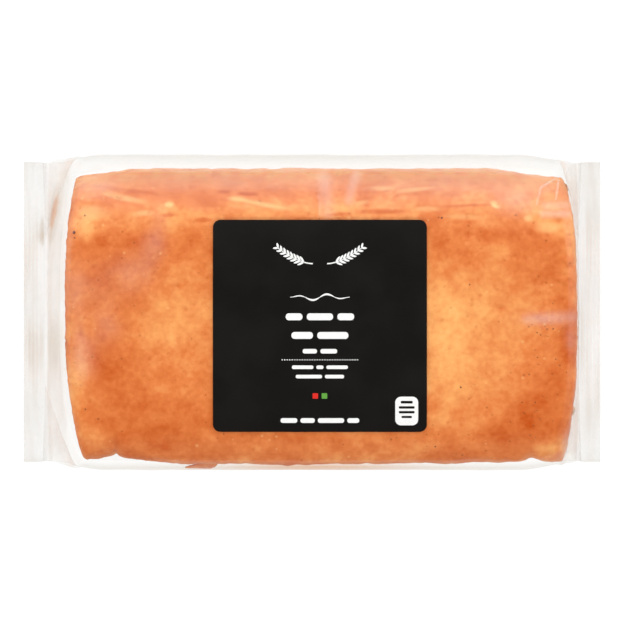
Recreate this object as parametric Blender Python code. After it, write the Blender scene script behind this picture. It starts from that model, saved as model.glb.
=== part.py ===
"""A loaf-shaped angel food cake sealed in a clear film pack, with a square label on its top.

The pack lies on its flat base, label up. X runs along the loaf, Y across it and Z up, in metres.
The origin is the centre of the pack's footprint, on the surface it rests on.

The film pack is one sealed bag, so it is one solid, out to the outside of the film. Seen along the
loaf it is: a crimped end seal, a gusset whose side folds tuck in, a rounded shoulder, the loaf, and
the same again. The far long edge (+Y) is baked rounder than the near one.
"""

import math

import bpy

# The whole pack.
PACK_LENGTH = 0.246
PACK_WIDTH = 0.134
PACK_HEIGHT = 0.0656

# The cross-section: four superellipse quarters that meet at the height where the pack is widest.
WIDEST_HEIGHT = 0.031
NEAR_TOP_ROUNDNESS = 5.0
FAR_TOP_ROUNDNESS = 3.0
BASE_ROUNDNESS = 5.5
BASE_PRESS = 0.0011  # how much of the rounded base is pressed flat
CORNER_REACH = 0.96  # where the folds of the gussets start, as a share of the half width
QUARTER_STEPS = 14

# The loaf inside sits off centre, and its ends bulge in plan.
RIGHT_END = 0.1122
LEFT_END = -0.1062
CORNER_SWEEP = 0.0075
SWEEP_POWER = 3.0
SHOULDER_RADIUS = 0.0065
SHOULDER_TURN = math.radians(64)
SHOULDER_STEPS = 5
LOAF_STEPS = 22

# Slow swells of the baked top under the film, which die out towards the ends.
SWELL_HEIGHT = 0.0005
SWELL_LENGTH = 0.094

# The gusseted ends and their crimped seals.
SEAL_LENGTH = 0.0080
SEAL_SPAN = 0.128
NARROW_LENGTH = 0.0030  # beside each seal the pack stays as narrow as the seal for this length
NARROWING_LENGTH = 0.0245
SEAL_THICKNESS = 0.0012
SEAL_MID_HEIGHT = 0.0315
TUCK_DEPTH = 0.033
TUCK_GAP = 0.0004
GUSSET_STEPS = 7
FOLD_POWER = 1.6
LIFT_POWER = 1.15
PUCKER_HEIGHT = 0.0011
PUCKER_LENGTH = 0.0190
CORNER_FLARE = 0.0017
FLARE_POWER = 1.7
CRIMP_PITCH = 0.0016
CRIMP_HEIGHT = 0.00035
WEB_LENGTH = 0.0002

# The label.
LABEL_LENGTH = 0.0895
LABEL_WIDTH = 0.0888
LABEL_CORNER = 0.0031
LABEL_THICKNESS = 0.0004
LABEL_GAP = 0.0003
LABEL_CENTRE = (0.0033, -0.0058)
LABEL_COLUMNS = 14
LABEL_ROWS = 14
LABEL_CORNER_STEPS = 4


def clear_scene():
    for thing in list(bpy.data.objects):
        bpy.data.objects.remove(thing, do_unlink=True)


def make_material(name, colour, roughness, coat=0.0):
    material = bpy.data.materials.new(name)
    material.use_nodes = True
    surface = material.node_tree.nodes["Principled BSDF"]
    surface.inputs["Base Color"].default_value = (*colour, 1.0)
    surface.inputs["Roughness"].default_value = roughness
    surface.inputs["Metallic"].default_value = 0.0
    surface.inputs["Coat Weight"].default_value = coat
    return material


def make_object(name, points, faces, material):
    mesh = bpy.data.meshes.new(name)
    mesh.from_pydata(points, [], faces)
    mesh.materials.append(material)
    mesh.shade_smooth()
    mesh.set_sharp_from_angle(angle=math.radians(40))
    mesh.update()
    made = bpy.data.objects.new(name, mesh)
    bpy.context.scene.collection.objects.link(made)
    return made


# --- The cross-section of the pack -------------------------------------------------------------


def eased(share):
    """A share from 0 to 1, with a slow start and finish."""
    share = min(max(share, 0.0), 1.0)
    return share * share * (3 - 2 * share)


def quarters(inset):
    """The four quarters, in order round the section: side of Y, side of Z, height, roundness."""
    top = PACK_HEIGHT - WIDEST_HEIGHT - inset
    base = WIDEST_HEIGHT + BASE_PRESS - inset
    return (
        (-1, 1, top, NEAR_TOP_ROUNDNESS),
        (1, 1, top, FAR_TOP_ROUNDNESS),
        (1, -1, base, BASE_ROUNDNESS),
        (-1, -1, base, BASE_ROUNDNESS),
    )


def quarter_shares():
    """For each point of a quarter, from the side of the section: its shares of the fold and panel.

    The fold runs from the side, 0, to the corner of the gusset's panel, 1. The panel runs on from
    there, 0, to the middle of the section, 1, which the next quarter holds.
    """
    corner = QUARTER_STEPS // 2
    for step in range(QUARTER_STEPS + 1):
        yield min(step / corner, 1.0), max(step - corner, 0) / (QUARTER_STEPS - corner)


def round_section(point_of):
    """Points (y, z) round the pack, from the near side over the top to the far side and back under.

    point_of(number, fold, panel) gives a point of the quarter with that number. Each quarter
    leaves out its last point, which is the next one's first.
    """
    from_side = list(quarter_shares())[:-1]
    to_side = list(quarter_shares())[:0:-1]
    section = []
    for number in range(4):
        for fold, panel in (from_side, to_side)[number % 2]:
            section.append(point_of(number, fold, panel))
    return section


def loaf_section(inset=0.0):
    """The section over the loaf. The inset lowers its top and raises its base."""

    def point_of(number, fold, panel):
        side_y, side_z, height, roundness = quarters(inset)[number]
        corner = math.acos(CORNER_REACH ** (roundness / 2))
        turn = corner * fold + (math.pi / 2 - corner) * panel
        across = max(math.cos(turn), 0.0) ** (2 / roundness)
        up = max(math.sin(turn), 0.0) ** (2 / roundness)
        z = WIDEST_HEIGHT + side_z * height * up
        return side_y * PACK_WIDTH / 2 * across, max(z, inset)

    return round_section(point_of)


def seal_section(tucked):
    """The section of the flat end seal, whose sides are half round.

    With tucked set, the side folds still stand open by TUCK_GAP, as where the seal begins.
    """
    half_thick = SEAL_THICKNESS / 2
    half_span = SEAL_SPAN / 2 - half_thick

    def point_of(number, fold, panel):
        side_y, side_z, _, _ = quarters(0.0)[number]
        nose = fold * math.pi / 2
        y = half_span * (1 - panel) + half_thick * math.cos(nose)
        z = half_thick * math.sin(nose)
        if tucked and fold < 1.0:
            y = half_span - TUCK_DEPTH * (1 - fold)
            z = TUCK_GAP / 2 if fold > 0.0 else 0.0
        return side_y * y, SEAL_MID_HEIGHT + side_z * z

    return round_section(point_of)


def loaf_end(side, y):
    """Where the film meets the end of the loaf: the ends bulge, so their corners lie further in."""
    middle = RIGHT_END if side > 0 else LEFT_END
    return middle - side * CORNER_SWEEP * min(abs(y) / (PACK_WIDTH / 2), 1.0) ** SWEEP_POWER


def swell(x):
    """Slow rise and fall of the baked top along the loaf."""
    fade = math.cos(math.pi * x / PACK_LENGTH) ** 2
    return SWELL_HEIGHT * math.sin(2 * math.pi * x / SWELL_LENGTH) * fade


def with_swell(x, z):
    """The height z at x, raised by the swell in proportion to how near the top it is."""
    share = max(z - WIDEST_HEIGHT, 0.0) / (PACK_HEIGHT - WIDEST_HEIGHT)
    return z - (SWELL_HEIGHT - swell(x)) * share


def narrowed(x, y):
    """The width y at x, which falls from the loaf's to the seal's over NARROWING_LENGTH."""
    to_narrow = PACK_LENGTH / 2 - SEAL_LENGTH - NARROW_LENGTH - abs(x)
    share = 1 - eased(to_narrow / NARROWING_LENGTH)
    return y * (1 - (1 - SEAL_SPAN / PACK_WIDTH) * share)


def placed(x, y, z):
    """A point of the loaf's section at x, with the swell and the narrowing."""
    return (x, narrowed(x, y), with_swell(x, z))


# --- The rings of the pack, from its left seal to its right one --------------------------------


def crimped_seal_rings(side):
    """The flat seal from its outer edge inwards, pressed into ribs that run across the pack."""
    rings = []
    steps = round(SEAL_LENGTH / (CRIMP_PITCH / 2))
    for step in range(steps + 1):
        x = side * (PACK_LENGTH / 2 - SEAL_LENGTH * step / steps)
        rib = 0.0 if step in (0, steps) else CRIMP_HEIGHT * (-1) ** step
        rings.append([(x, y, z + rib) for y, z in seal_section(tucked=False)])
    return rings


def shoulder_ring(side, turn):
    """The loaf's section where its end rounds over, turn being how far round it has gone."""
    inset = SHOULDER_RADIUS * (1 - math.cos(turn))
    back = SHOULDER_RADIUS * (1 - math.sin(turn))
    return [placed(loaf_end(side, y) - side * back, y, z) for y, z in loaf_section(inset)]


def gusset_rings(side):
    """From the seal's inner edge to the shoulder: the panels open out, and the folds come untucked."""
    seal_x = side * (PACK_LENGTH / 2 - SEAL_LENGTH - WEB_LENGTH)
    tucked = [(seal_x, y, z) for y, z in seal_section(tucked=True)]
    opened = shoulder_ring(side, SHOULDER_TURN)
    rings = [tucked]
    for step in range(1, GUSSET_STEPS):
        share = step / GUSSET_STEPS
        untucked = 1 - (1 - share) ** FOLD_POWER
        lifted = share**LIFT_POWER
        bulge = math.sin(math.pi * share)
        flare = CORNER_FLARE * math.sin(math.pi * share**FLARE_POWER)
        ring = []
        for start, end in zip(tucked, opened):
            x = start[0] + (end[0] - start[0]) * share
            y = start[1] + (end[1] - start[1]) * untucked
            z = start[2] + (end[2] - start[2]) * lifted
            pucker = PUCKER_HEIGHT * share * math.sin(2 * math.pi * y / PUCKER_LENGTH)
            outwards = math.copysign((abs(y) / (SEAL_SPAN / 2)) ** 4, y)
            upwards = math.copysign(1, z - SEAL_MID_HEIGHT)
            ring.append((x, y + outwards * flare, z + upwards * bulge * pucker))
        rings.append(ring)
    return rings


def end_rings(side):
    """Everything from one outer edge to where the loaf's straight middle begins."""
    rings = crimped_seal_rings(side) + gusset_rings(side)
    for step in range(SHOULDER_STEPS):
        rings.append(shoulder_ring(side, SHOULDER_TURN * (1 - step / SHOULDER_STEPS)))
    return rings


def middle_rings():
    """The loaf between its shoulders, whose rings change from one bulging end to the other."""
    rings = []
    section = loaf_section()
    for step in range(LOAF_STEPS + 1):
        share = step / LOAF_STEPS
        ring = []
        for y, z in section:
            left = loaf_end(-1, y) + SHOULDER_RADIUS
            right = loaf_end(1, y) - SHOULDER_RADIUS
            ring.append(placed(left + (right - left) * share, y, z))
        rings.append(ring)
    return rings


def seal_cap(ring_start, outwards):
    """Quads that close the outer edge of a seal, each from a point of its upper face to the lower."""
    count = 4 * QUARTER_STEPS
    faces = []
    for step in range(2 * QUARTER_STEPS):
        upper = [ring_start + step, ring_start + step + 1]
        lower = [ring_start + (count - step - 1) % count, ring_start + (count - step) % count]
        face = upper + lower
        if len(set(face)) < 4:
            face = [corner for number, corner in enumerate(face) if corner not in face[:number]]
        faces.append(face if outwards else face[::-1])
    return faces


def make_film_pack(material):
    rings = end_rings(-1) + middle_rings() + end_rings(1)[::-1]
    count = 4 * QUARTER_STEPS
    points = [point for ring in rings for point in ring]
    faces = []
    for number in range(len(rings) - 1):
        here, there = number * count, (number + 1) * count
        for step in range(count):
            onwards = (step + 1) % count
            faces.append((here + step, there + step, there + onwards, here + onwards))
    faces += seal_cap(0, outwards=True)
    faces += seal_cap((len(rings) - 1) * count, outwards=False)
    return make_object("film_pack", points, faces, material)


# --- The label ---------------------------------------------------------------------------------


def top_height(x, y):
    """The height of the film over the loaf's middle at a point of the plan."""
    roundness = FAR_TOP_ROUNDNESS if y > 0 else NEAR_TOP_ROUNDNESS
    across = min(abs(y) / (PACK_WIDTH / 2), 1.0)
    rise = (1 - across**roundness) ** (1 / roundness)
    return with_swell(x, WIDEST_HEIGHT + (PACK_HEIGHT - WIDEST_HEIGHT) * rise)


def label_rows():
    """(y, half width) of each row across the label, closer together round its corners."""
    straight_y = LABEL_WIDTH / 2 - LABEL_CORNER
    straight_x = LABEL_LENGTH / 2 - LABEL_CORNER
    corner = []
    for step in range(LABEL_CORNER_STEPS):
        turn = math.pi / 2 * (1 - step / LABEL_CORNER_STEPS)
        row_y = straight_y + LABEL_CORNER * math.sin(turn)
        corner.append((row_y, straight_x + LABEL_CORNER * math.cos(turn)))
    middle = []
    for step in range(LABEL_ROWS + 1):
        middle.append((straight_y - 2 * straight_y * step / LABEL_ROWS, LABEL_LENGTH / 2))
    return corner + middle + [(-y, width) for y, width in reversed(corner)]


def make_label(material):
    """A thin plate that follows the top of the film."""
    columns = LABEL_COLUMNS + 1
    points = []
    rows = label_rows()
    for lift in (LABEL_GAP + LABEL_THICKNESS, LABEL_GAP):
        for row_y, half_width in rows:
            for column in range(columns):
                x = LABEL_CENTRE[0] + half_width * (2 * column / LABEL_COLUMNS - 1)
                y = LABEL_CENTRE[1] + row_y
                points.append((x, y, top_height(x, y) + lift))
    under = len(rows) * columns
    faces = []
    for row in range(len(rows) - 1):
        for column in range(LABEL_COLUMNS):
            corner = row * columns + column
            upper = (corner, corner + columns, corner + columns + 1, corner + 1)
            faces.append(upper)
            faces.append(tuple(under + index for index in reversed(upper)))
    last = (len(rows) - 1) * columns
    edge = list(range(LABEL_COLUMNS))
    edge += [row * columns + LABEL_COLUMNS for row in range(len(rows) - 1)]
    edge += [last + column for column in range(LABEL_COLUMNS, 0, -1)]
    edge += [row * columns for row in range(len(rows) - 1, 0, -1)]
    for start, end in zip(edge, edge[1:] + edge[:1]):
        faces.append((start, end, under + end, under + start))
    return make_object("label", points, faces, material)


clear_scene()
make_film_pack(make_material("film_over_cake", (0.80, 0.30, 0.10), 0.28, coat=0.5))
make_label(make_material("label_black", (0.012, 0.011, 0.010), 0.35))
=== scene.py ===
"""The looks of a loaf-shaped angel food cake, sealed in a clear film pack with a square label.

Every piece rides on the one body:
  film         the clear bag: one closed wall, with crimped ends and sides that tuck in
  fin_seal     the bag's lengthwise seal, folded flat underneath
  cake         the loaf: crust, pits, streaks and torn edges
  crust_flap   a torn bit of crust that hangs from the near edge
  crumbs       loose crumbs that have fallen into the bag
  flecks       dark flecks that sit on the crust
  label        the black sticker
  bars, sprigs, swash, dot_rule, badge, badge_lines, red_mark, green_mark    its print

Lengths are in metres, apart from those that are said to be in mm.
"""

import math
import random

import bpy
import numpy as np
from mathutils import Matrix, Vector, kdtree, noise
from mathutils.bvhtree import BVHTree


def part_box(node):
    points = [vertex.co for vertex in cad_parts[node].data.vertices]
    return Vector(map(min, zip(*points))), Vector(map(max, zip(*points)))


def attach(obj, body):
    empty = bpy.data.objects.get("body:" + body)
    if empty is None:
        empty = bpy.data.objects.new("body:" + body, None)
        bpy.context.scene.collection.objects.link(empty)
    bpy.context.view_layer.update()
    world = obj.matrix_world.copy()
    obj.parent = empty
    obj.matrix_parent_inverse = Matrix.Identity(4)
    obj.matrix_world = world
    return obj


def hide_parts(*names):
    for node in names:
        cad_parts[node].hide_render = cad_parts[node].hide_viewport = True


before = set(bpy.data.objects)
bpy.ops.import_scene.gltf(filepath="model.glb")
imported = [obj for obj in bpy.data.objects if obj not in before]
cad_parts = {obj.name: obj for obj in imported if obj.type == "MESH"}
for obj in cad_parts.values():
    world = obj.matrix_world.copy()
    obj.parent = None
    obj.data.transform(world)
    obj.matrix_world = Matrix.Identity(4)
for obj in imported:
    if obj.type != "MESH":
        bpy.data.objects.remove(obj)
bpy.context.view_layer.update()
BODY = "root"
MM = 0.001

# --- Sizes that the part has too -----------------------------------------------------------------

PACK_LOW, PACK_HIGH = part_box("film_pack")
PACK_LENGTH = PACK_HIGH.x - PACK_LOW.x
PACK_WIDTH = 0.134
PACK_HEIGHT = 0.0656
WIDEST_HEIGHT = 0.031
NEAR_TOP_ROUNDNESS = 5.0
FAR_TOP_ROUNDNESS = 3.0
BASE_ROUNDNESS = 5.5
BASE_PRESS = 0.0011
CORNER_REACH = 0.96
RIGHT_END = 0.1122
LEFT_END = -0.1062
CORNER_SWEEP = 0.0075
SWEEP_POWER = 3.0
SHOULDER_RADIUS = 0.0065
SHOULDER_TURN = math.radians(64)
SWELL_HEIGHT = 0.0005
SWELL_LENGTH = 0.094
SEAL_LENGTH = 0.0080
SEAL_SPAN = 0.128
NARROW_LENGTH = 0.0030
NARROWING_LENGTH = 0.0245
SEAL_MID_HEIGHT = 0.0315
TUCK_DEPTH = 0.033
PUCKER_HEIGHT = 0.0011
PUCKER_LENGTH = 0.0190
FOLD_POWER = 1.6
LIFT_POWER = 1.15
CORNER_FLARE = 0.0017
FLARE_POWER = 1.7
FLARE_EDGE_POWER = 4
CRIMP_PITCH = 0.0016
CRIMP_HEIGHT = 0.00035

LABEL_LOW, LABEL_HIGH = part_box("label")
LABEL_HALF_X = (LABEL_HIGH.x - LABEL_LOW.x) / 2
LABEL_HALF_Y = (LABEL_HIGH.y - LABEL_LOW.y) / 2
LABEL_X = (LABEL_HIGH.x + LABEL_LOW.x) / 2
LABEL_Y = (LABEL_HIGH.y + LABEL_LOW.y) / 2
LABEL_CORNER = 0.0031

# --- Sizes of the finer shapes -------------------------------------------------------------------

# The film.
FOLD_POINTS = 26
PANEL_POINTS = 58
RINGS_PER_RIB = 6
GUSSET_RINGS = 34
SHOULDER_RINGS = 8
LOAF_RINGS = 126
FILM_SEAL_THICKNESS = 0.0006
FILM_TUCK_GAP = 0.0004
LEAST_CRIMP = 0.10  # the share of the ribs' height that shows where the jaws pressed least
MORE_CRIMP = 0.30
SEAL_TINGE = 0.105
SEAL_EDGE = PACK_LENGTH / 2 - SEAL_LENGTH
SEAL_FADE = 0.0035
WEB_LENGTH = 0.0012  # over this length behind a seal, the side folds come out of it
EASY_LIFT = 0.22  # over this share of the gusset, its panels leave the seal little by little
SHARP_TURN = math.radians(50)
FIN_LIFT = 0.0004
FIN_HALF_WIDTH = 0.0055
FIN_REACH = 0.0990
FIN_THICKNESS = 0.0002
FIN_BASE = 0.00008  # the height of its lower part over the table
FIN_RIB = 0.00006
FIN_SHEET = 0.00006
FIN_END = 0.006  # it thins out over this
FIN_EASE = 0.002  # the film comes down beside it over this
FIN_STEPS = 14
FIN_MILKINESS = 0.35
RELIEF_WHOLE = 0.25  # over this share of the gusset, the film's relief comes in

# The loaf. Its near top edge carries a lip of crust, which stands out over a narrower side.
CAKE_NEAR_HALF = 0.0612
CAKE_FAR_HALF = 0.0610
CAKE_TOP = PACK_HEIGHT - 0.0009
CAKE_BASE = 0.0010
CAKE_NEAR_ROUNDNESS = 7.0
CAKE_FAR_ROUNDNESS = 3.05
CAKE_BASE_ROUNDNESS = 6.0
CAKE_NEAR_POINTS = 104
CAKE_FAR_POINTS = 156
CAKE_BASE_POINTS = 31
CAKE_RINGS = 232
CAKE_RIM_RINGS = 9
CAKE_FACE_RINGS = 22
CAKE_RIM_RADIUS = 0.0050
CAKE_SIDE_INSET = 0.28
CAKE_LEFT_GAP = 0.0024
CAKE_RIGHT_GAP = 0.0005
LEFT_DRAWN_IN = 0.0016
LEFT_CORNER_DRAWN_IN = 0.0010
FACE_RING_POWER = 0.85  # below 1, an end face's rings stand closer near its rim
LOWEST_CRUST = CAKE_BASE - 0.0002
FAR_TAPER = 0.054
TAPER_START = 0.070
TAPER_WHOLE = 0.104
LIP_HEIGHT = 0.0510
LIP_SPREAD = 0.0045
LIP_REACH = 0.0029
FLAP_LIMIT = 0.0663
CRUST_GAP = 0.0006  # from the film to the crust, before its relief
LEAST_GAP = 0.00015
FILM_SEARCH = 0.0022


# --- Making meshes -------------------------------------------------------------------------------


def make_piece(name, points, faces, material, smooth=True):
    """A mesh object at the origin that rides on the body and takes its finish from a slot."""
    mesh = bpy.data.meshes.new(name)
    mesh.from_pydata([tuple(map(float, point)) for point in points], [], faces)
    mesh.materials.append(material)
    if smooth:
        mesh.shade_smooth()
    mesh.update()
    piece = bpy.data.objects.new(name, mesh)
    bpy.context.scene.collection.objects.link(piece)
    return dress_piece(piece)


def dress_piece(piece):
    """Makes a piece ride on the body."""
    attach(piece, BODY)
    return piece


def store_values(piece, name, values):
    """Keeps one number for each point, which a material reads by this name."""
    attribute = piece.data.attributes.new(name, "FLOAT", "POINT")
    attribute.data.foreach_set("value", np.asarray(values, np.float32))


def store_even(piece, **values):
    """Keeps the same number for every point, for each of the names given."""
    for name, value in values.items():
        store_values(piece, name, [value] * len(piece.data.vertices))


def ring_faces(rings, around):
    """Quads between each ring and the next, which face out where the rings run towards +X."""
    faces = []
    for ring in range(rings - 1):
        here, there = ring * around, (ring + 1) * around
        for step in range(around):
            onwards = (step + 1) % around
            faces.append((here + step, there + step, there + onwards, here + onwards))
    return faces


def ring_normals(grid):
    """Outward unit normals of a grid of rings, shaped (rings, points, 3)."""
    along = np.gradient(grid, axis=0)
    around = np.roll(grid, -1, axis=1) - np.roll(grid, 1, axis=1)
    normals = np.cross(along, around)
    lengths = np.linalg.norm(normals, axis=2, keepdims=True)
    return normals / np.maximum(lengths, 1e-12)


def eased(share):
    """A share held between 0 and 1 that starts and ends gently."""
    share = min(max(share, 0.0), 1.0)
    return share * share * (3 - 2 * share)


def rises(value, start, end):
    """0 before start, 1 after end, and smooth between them."""
    return eased((value - start) / (end - start))


def bump_at(value, middle, width):
    """A smooth hill of height 1."""
    return math.exp(-(((value - middle) / width) ** 2))


def ripples(point, sizes, shift=0.0):
    """Smooth noise from -1 to 1 whose waves have these sizes along X, Y and Z."""
    return noise.noise([value / size + shift for value, size in zip(point, sizes)])


def waves(point, kind):
    """Relief of a kind, which is its height, its waves' sizes along X, Y and Z, and a shift."""
    height, sizes, shift = kind
    return height * ripples(point, sizes, shift)


def evenly(points, count):
    """The same line with count points, evenly spaced."""
    steps = np.linalg.norm(np.diff(points, axis=0), axis=1)
    along = np.concatenate(([0.0], np.cumsum(steps)))
    wanted = np.linspace(0.0, along[-1], count)
    return np.column_stack([np.interp(wanted, along, column) for column in points.T])


# --- The cross-sections --------------------------------------------------------------------------


SECTION_STEPS = 400


def superellipse(half, height, roundness, first_turn, last_turn):
    """Points (y, z) of a superellipse's quarter, between two turns from its side."""
    turns = np.linspace(first_turn, last_turn, SECTION_STEPS)
    across = np.maximum(np.cos(turns), 0.0) ** (2 / roundness)
    up = np.maximum(np.sin(turns), 0.0) ** (2 / roundness)
    return np.column_stack((half * across, height * up))


def round_section(quarter_line):
    """One loop of (y, z), from the near side over the top to the far side and back under."""
    loop = []
    for number in range(4):
        line = quarter_line(number)
        loop.extend(line[:-1] if number % 2 == 0 else line[:0:-1])
    return np.array(loop)


FILM_QUARTERS = (
    (-1, 1, PACK_HEIGHT - WIDEST_HEIGHT, NEAR_TOP_ROUNDNESS),
    (1, 1, PACK_HEIGHT - WIDEST_HEIGHT, FAR_TOP_ROUNDNESS),
    (1, -1, WIDEST_HEIGHT + BASE_PRESS, BASE_ROUNDNESS),
    (-1, -1, WIDEST_HEIGHT + BASE_PRESS, BASE_ROUNDNESS),
)


def film_loaf_section(inset):
    """The film's section over the loaf: for each quarter a side fold, and then a panel."""

    def quarter_line(number):
        side_y, side_z, height, roundness = FILM_QUARTERS[number]
        corner = math.acos(CORNER_REACH ** (roundness / 2))
        half = PACK_WIDTH / 2
        fold = superellipse(half, height - inset, roundness, 0.0, corner)
        panel = superellipse(half, height - inset, roundness, corner, math.pi / 2)
        line = np.vstack((evenly(fold, FOLD_POINTS)[:-1], evenly(panel, PANEL_POINTS)))
        line = line * (side_y, side_z) + (0.0, WIDEST_HEIGHT)
        return np.column_stack((line[:, 0], np.maximum(line[:, 1], inset)))

    return round_section(quarter_line)


def film_seal_section(tucked):
    """The film's section at a seal, where the panels lie flat together."""
    half_thick = FILM_SEAL_THICKNESS / 2
    half_span = SEAL_SPAN / 2 - half_thick

    def quarter_line(number):
        side_y, side_z = FILM_QUARTERS[number][:2]
        share = np.linspace(0.0, 1.0, FOLD_POINTS)[:-1]
        if tucked:
            fold_y = half_span - TUCK_DEPTH * (1 - share)
            fold_z = np.where(share > 0, FILM_TUCK_GAP / 2, 0.0)
        else:
            fold_y = half_span + half_thick * np.cos(share * math.pi / 2)
            fold_z = half_thick * np.sin(share * math.pi / 2)
        panel_y = np.linspace(half_span, 0.0, PANEL_POINTS)
        panel_z = np.full(PANEL_POINTS, half_thick)
        y = np.concatenate((fold_y, panel_y)) * side_y
        z = np.concatenate((fold_z, panel_z)) * side_z + SEAL_MID_HEIGHT
        return np.column_stack((y, z))

    return round_section(quarter_line)


def loaf_end(side, y):
    """Where the film meets the end of the loaf, whose corners lie further in than its middle."""
    middle = RIGHT_END if side > 0 else LEFT_END
    return middle - side * CORNER_SWEEP * np.minimum(abs(y) / (PACK_WIDTH / 2), 1.0) ** SWEEP_POWER


def with_swell(x, z):
    """The height z at x, raised by the baked top's slow swell."""
    fade = np.cos(math.pi * x / PACK_LENGTH) ** 2
    swell = SWELL_HEIGHT * np.sin(2 * math.pi * x / SWELL_LENGTH) * fade
    share = np.maximum(z - WIDEST_HEIGHT, 0.0) / (PACK_HEIGHT - WIDEST_HEIGHT)
    return z - (SWELL_HEIGHT - swell) * share


def placed(x, y, z):
    """Points of the loaf's section at x, with the film's narrowing towards the seals."""
    to_narrow = PACK_LENGTH / 2 - SEAL_LENGTH - NARROW_LENGTH - abs(x)
    share = np.clip(to_narrow / NARROWING_LENGTH, 0.0, 1.0)
    narrowing = 1 - share * share * (3 - 2 * share)
    y = y * (1 - (1 - SEAL_SPAN / PACK_WIDTH) * narrowing)
    return np.column_stack((x, y, with_swell(x, z)))


# --- The film ------------------------------------------------------------------------------------

# Creases pressed into the film over the loaf: from (x, y) to (x, y), height and width, in mm.
CREASES = (
    ((103.5, 56.5), (95.5, 47.0), 0.40, 0.9),
    ((104.0, 55.0), (101.5, 44.0), 0.35, 0.9),
    ((94.0, 41.0), (108.5, 40.0), 0.30, 1.4),
    ((-101.0, 57.0), (-76.0, 61.5), 0.40, 1.1),
    ((-101.5, 46.5), (-88.0, 47.0), 0.22, 1.1),
    ((5.5, 60.0), (6.5, 42.0), 0.20, 2.6),
    ((17.0, 60.0), (15.5, 46.0), 0.18, 2.0),
    ((-34.0, 60.0), (-30.0, 47.0), 0.12, 2.2),
    ((-62.5, 39.0), (-74.0, 15.0), 0.14, 2.8),
    ((-76.0, 16.0), (-98.0, 2.0), 0.12, 3.2),
    ((84.0, -4.0), (111.0, -7.0), 0.20, 1.6),
    ((-104.0, -22.0), (-92.0, -30.0), 0.16, 1.6),
    ((104.0, -50.0), (98.0, -60.0), 0.30, 1.2),
    ((-98.0, -50.0), (-86.0, -60.0), 0.25, 1.2),
    ((50.0, -57.0), (74.0, -62.0), 0.18, 1.5),
)


CREASE_OUT = 2.0  # a crease starts this far before its first point, and is whole
CREASE_IN = 3.0  # this far after it, in mm
CREASE_ASIDE = 3  # past this many widths it isn't felt


def crease_height(x, y):
    """How far the creases lift the film at a point of the plan."""
    total = 0.0
    for (start_x, start_y), (end_x, end_y), height, width in CREASES:
        run_x, run_y = end_x - start_x, end_y - start_y
        length = math.hypot(run_x, run_y)
        along = ((x / MM - start_x) * run_x + (y / MM - start_y) * run_y) / length
        if -CREASE_OUT < along < length + CREASE_OUT:
            aside = ((x / MM - start_x) * run_y - (y / MM - start_y) * run_x) / length
            if abs(aside) < CREASE_ASIDE * width:
                fade = rises(along, -CREASE_OUT, CREASE_IN)
                fade *= 1 - rises(along, length - CREASE_IN, length + CREASE_OUT)
                total += height * MM * bump_at(aside, 0.0, width) * fade
    return total


# Kinds of relief, for waves().
SLACK = (0.00025, (0.034, 0.026, 1.0), 0.0)
FINE_WRINKLES = (0.00010, (0.009, 0.007, 1.0), 3.0)
UPRIGHT_FOLDS = (0.00030, (0.012, 0.05, 0.045), 7.0)
CURTAIN_FOLDS = (0.0010, (0.0045, 0.042, 0.034), 1.7)
BILLOWS = (0.0005, (0.020, 0.013, 0.026), 5.1)
UNEVEN_PRESS = (0.25, (0.024, 0.017, 1.0), 2.0)

LABEL_HOLD = 0.008  # the label keeps the film smooth under itself, and less so this far round it
SIDE_FOLDS_WHOLE = 0.040  # the sides' relief is whole below this height,
TOP_FOLDS_WHOLE = 0.056  # and the top's above this one
BASE_SMOOTH = 0.002
BASE_FOLDED = 0.015
CURTAIN_MIDDLE = 0.4
PRESSED_PLACES = ((0.027, 0.016), (-0.018, 0.018))  # Y, and reach along it


def top_relief(x, y):
    """How far the film over the loaf stands off the part's even surface."""
    slack = waves((x, y, 0.0), SLACK)
    edge_x = max(abs(x - LABEL_X) - LABEL_HALF_X, 0.0)
    edge_y = max(abs(y - LABEL_Y) - LABEL_HALF_Y, 0.0)
    off_label = rises(math.hypot(edge_x, edge_y), 0.0, LABEL_HOLD)
    fine = waves((x, y, 0.0), FINE_WRINKLES) * off_label
    return slack + fine + crease_height(x, y) * off_label


def film_relief(point, gusset_share):
    """The film's slack, creases and folds at a point, measured outwards.

    gusset_share is 1 over the loaf, and falls to 0 along the gusset towards the seal.
    """
    x, y, z = point
    on_top = rises(z, SIDE_FOLDS_WHOLE, TOP_FOLDS_WHOLE)
    relief = top_relief(x, y) * on_top * rises(gusset_share, 0.5, 1.0)
    upright = waves(point, UPRIGHT_FOLDS) * rises(z, BASE_SMOOTH, BASE_FOLDED)
    relief += upright * (1 - on_top) * gusset_share
    gathered = math.sin(math.pi * min(gusset_share, 1.0))
    curtain = CURTAIN_MIDDLE * CURTAIN_FOLDS[0] - abs(waves(point, CURTAIN_FOLDS))
    return relief + gathered * (curtain + waves(point, BILLOWS))


def crimp_press(x, y):
    """How firmly the jaws pressed a spot of the seal, from 0 to 1: the ribs come and go."""
    press = sum(bump_at(y, middle, reach) for middle, reach in PRESSED_PLACES)
    return min(press + waves((x, y, 0.0), UNEVEN_PRESS), 1.0)


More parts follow.
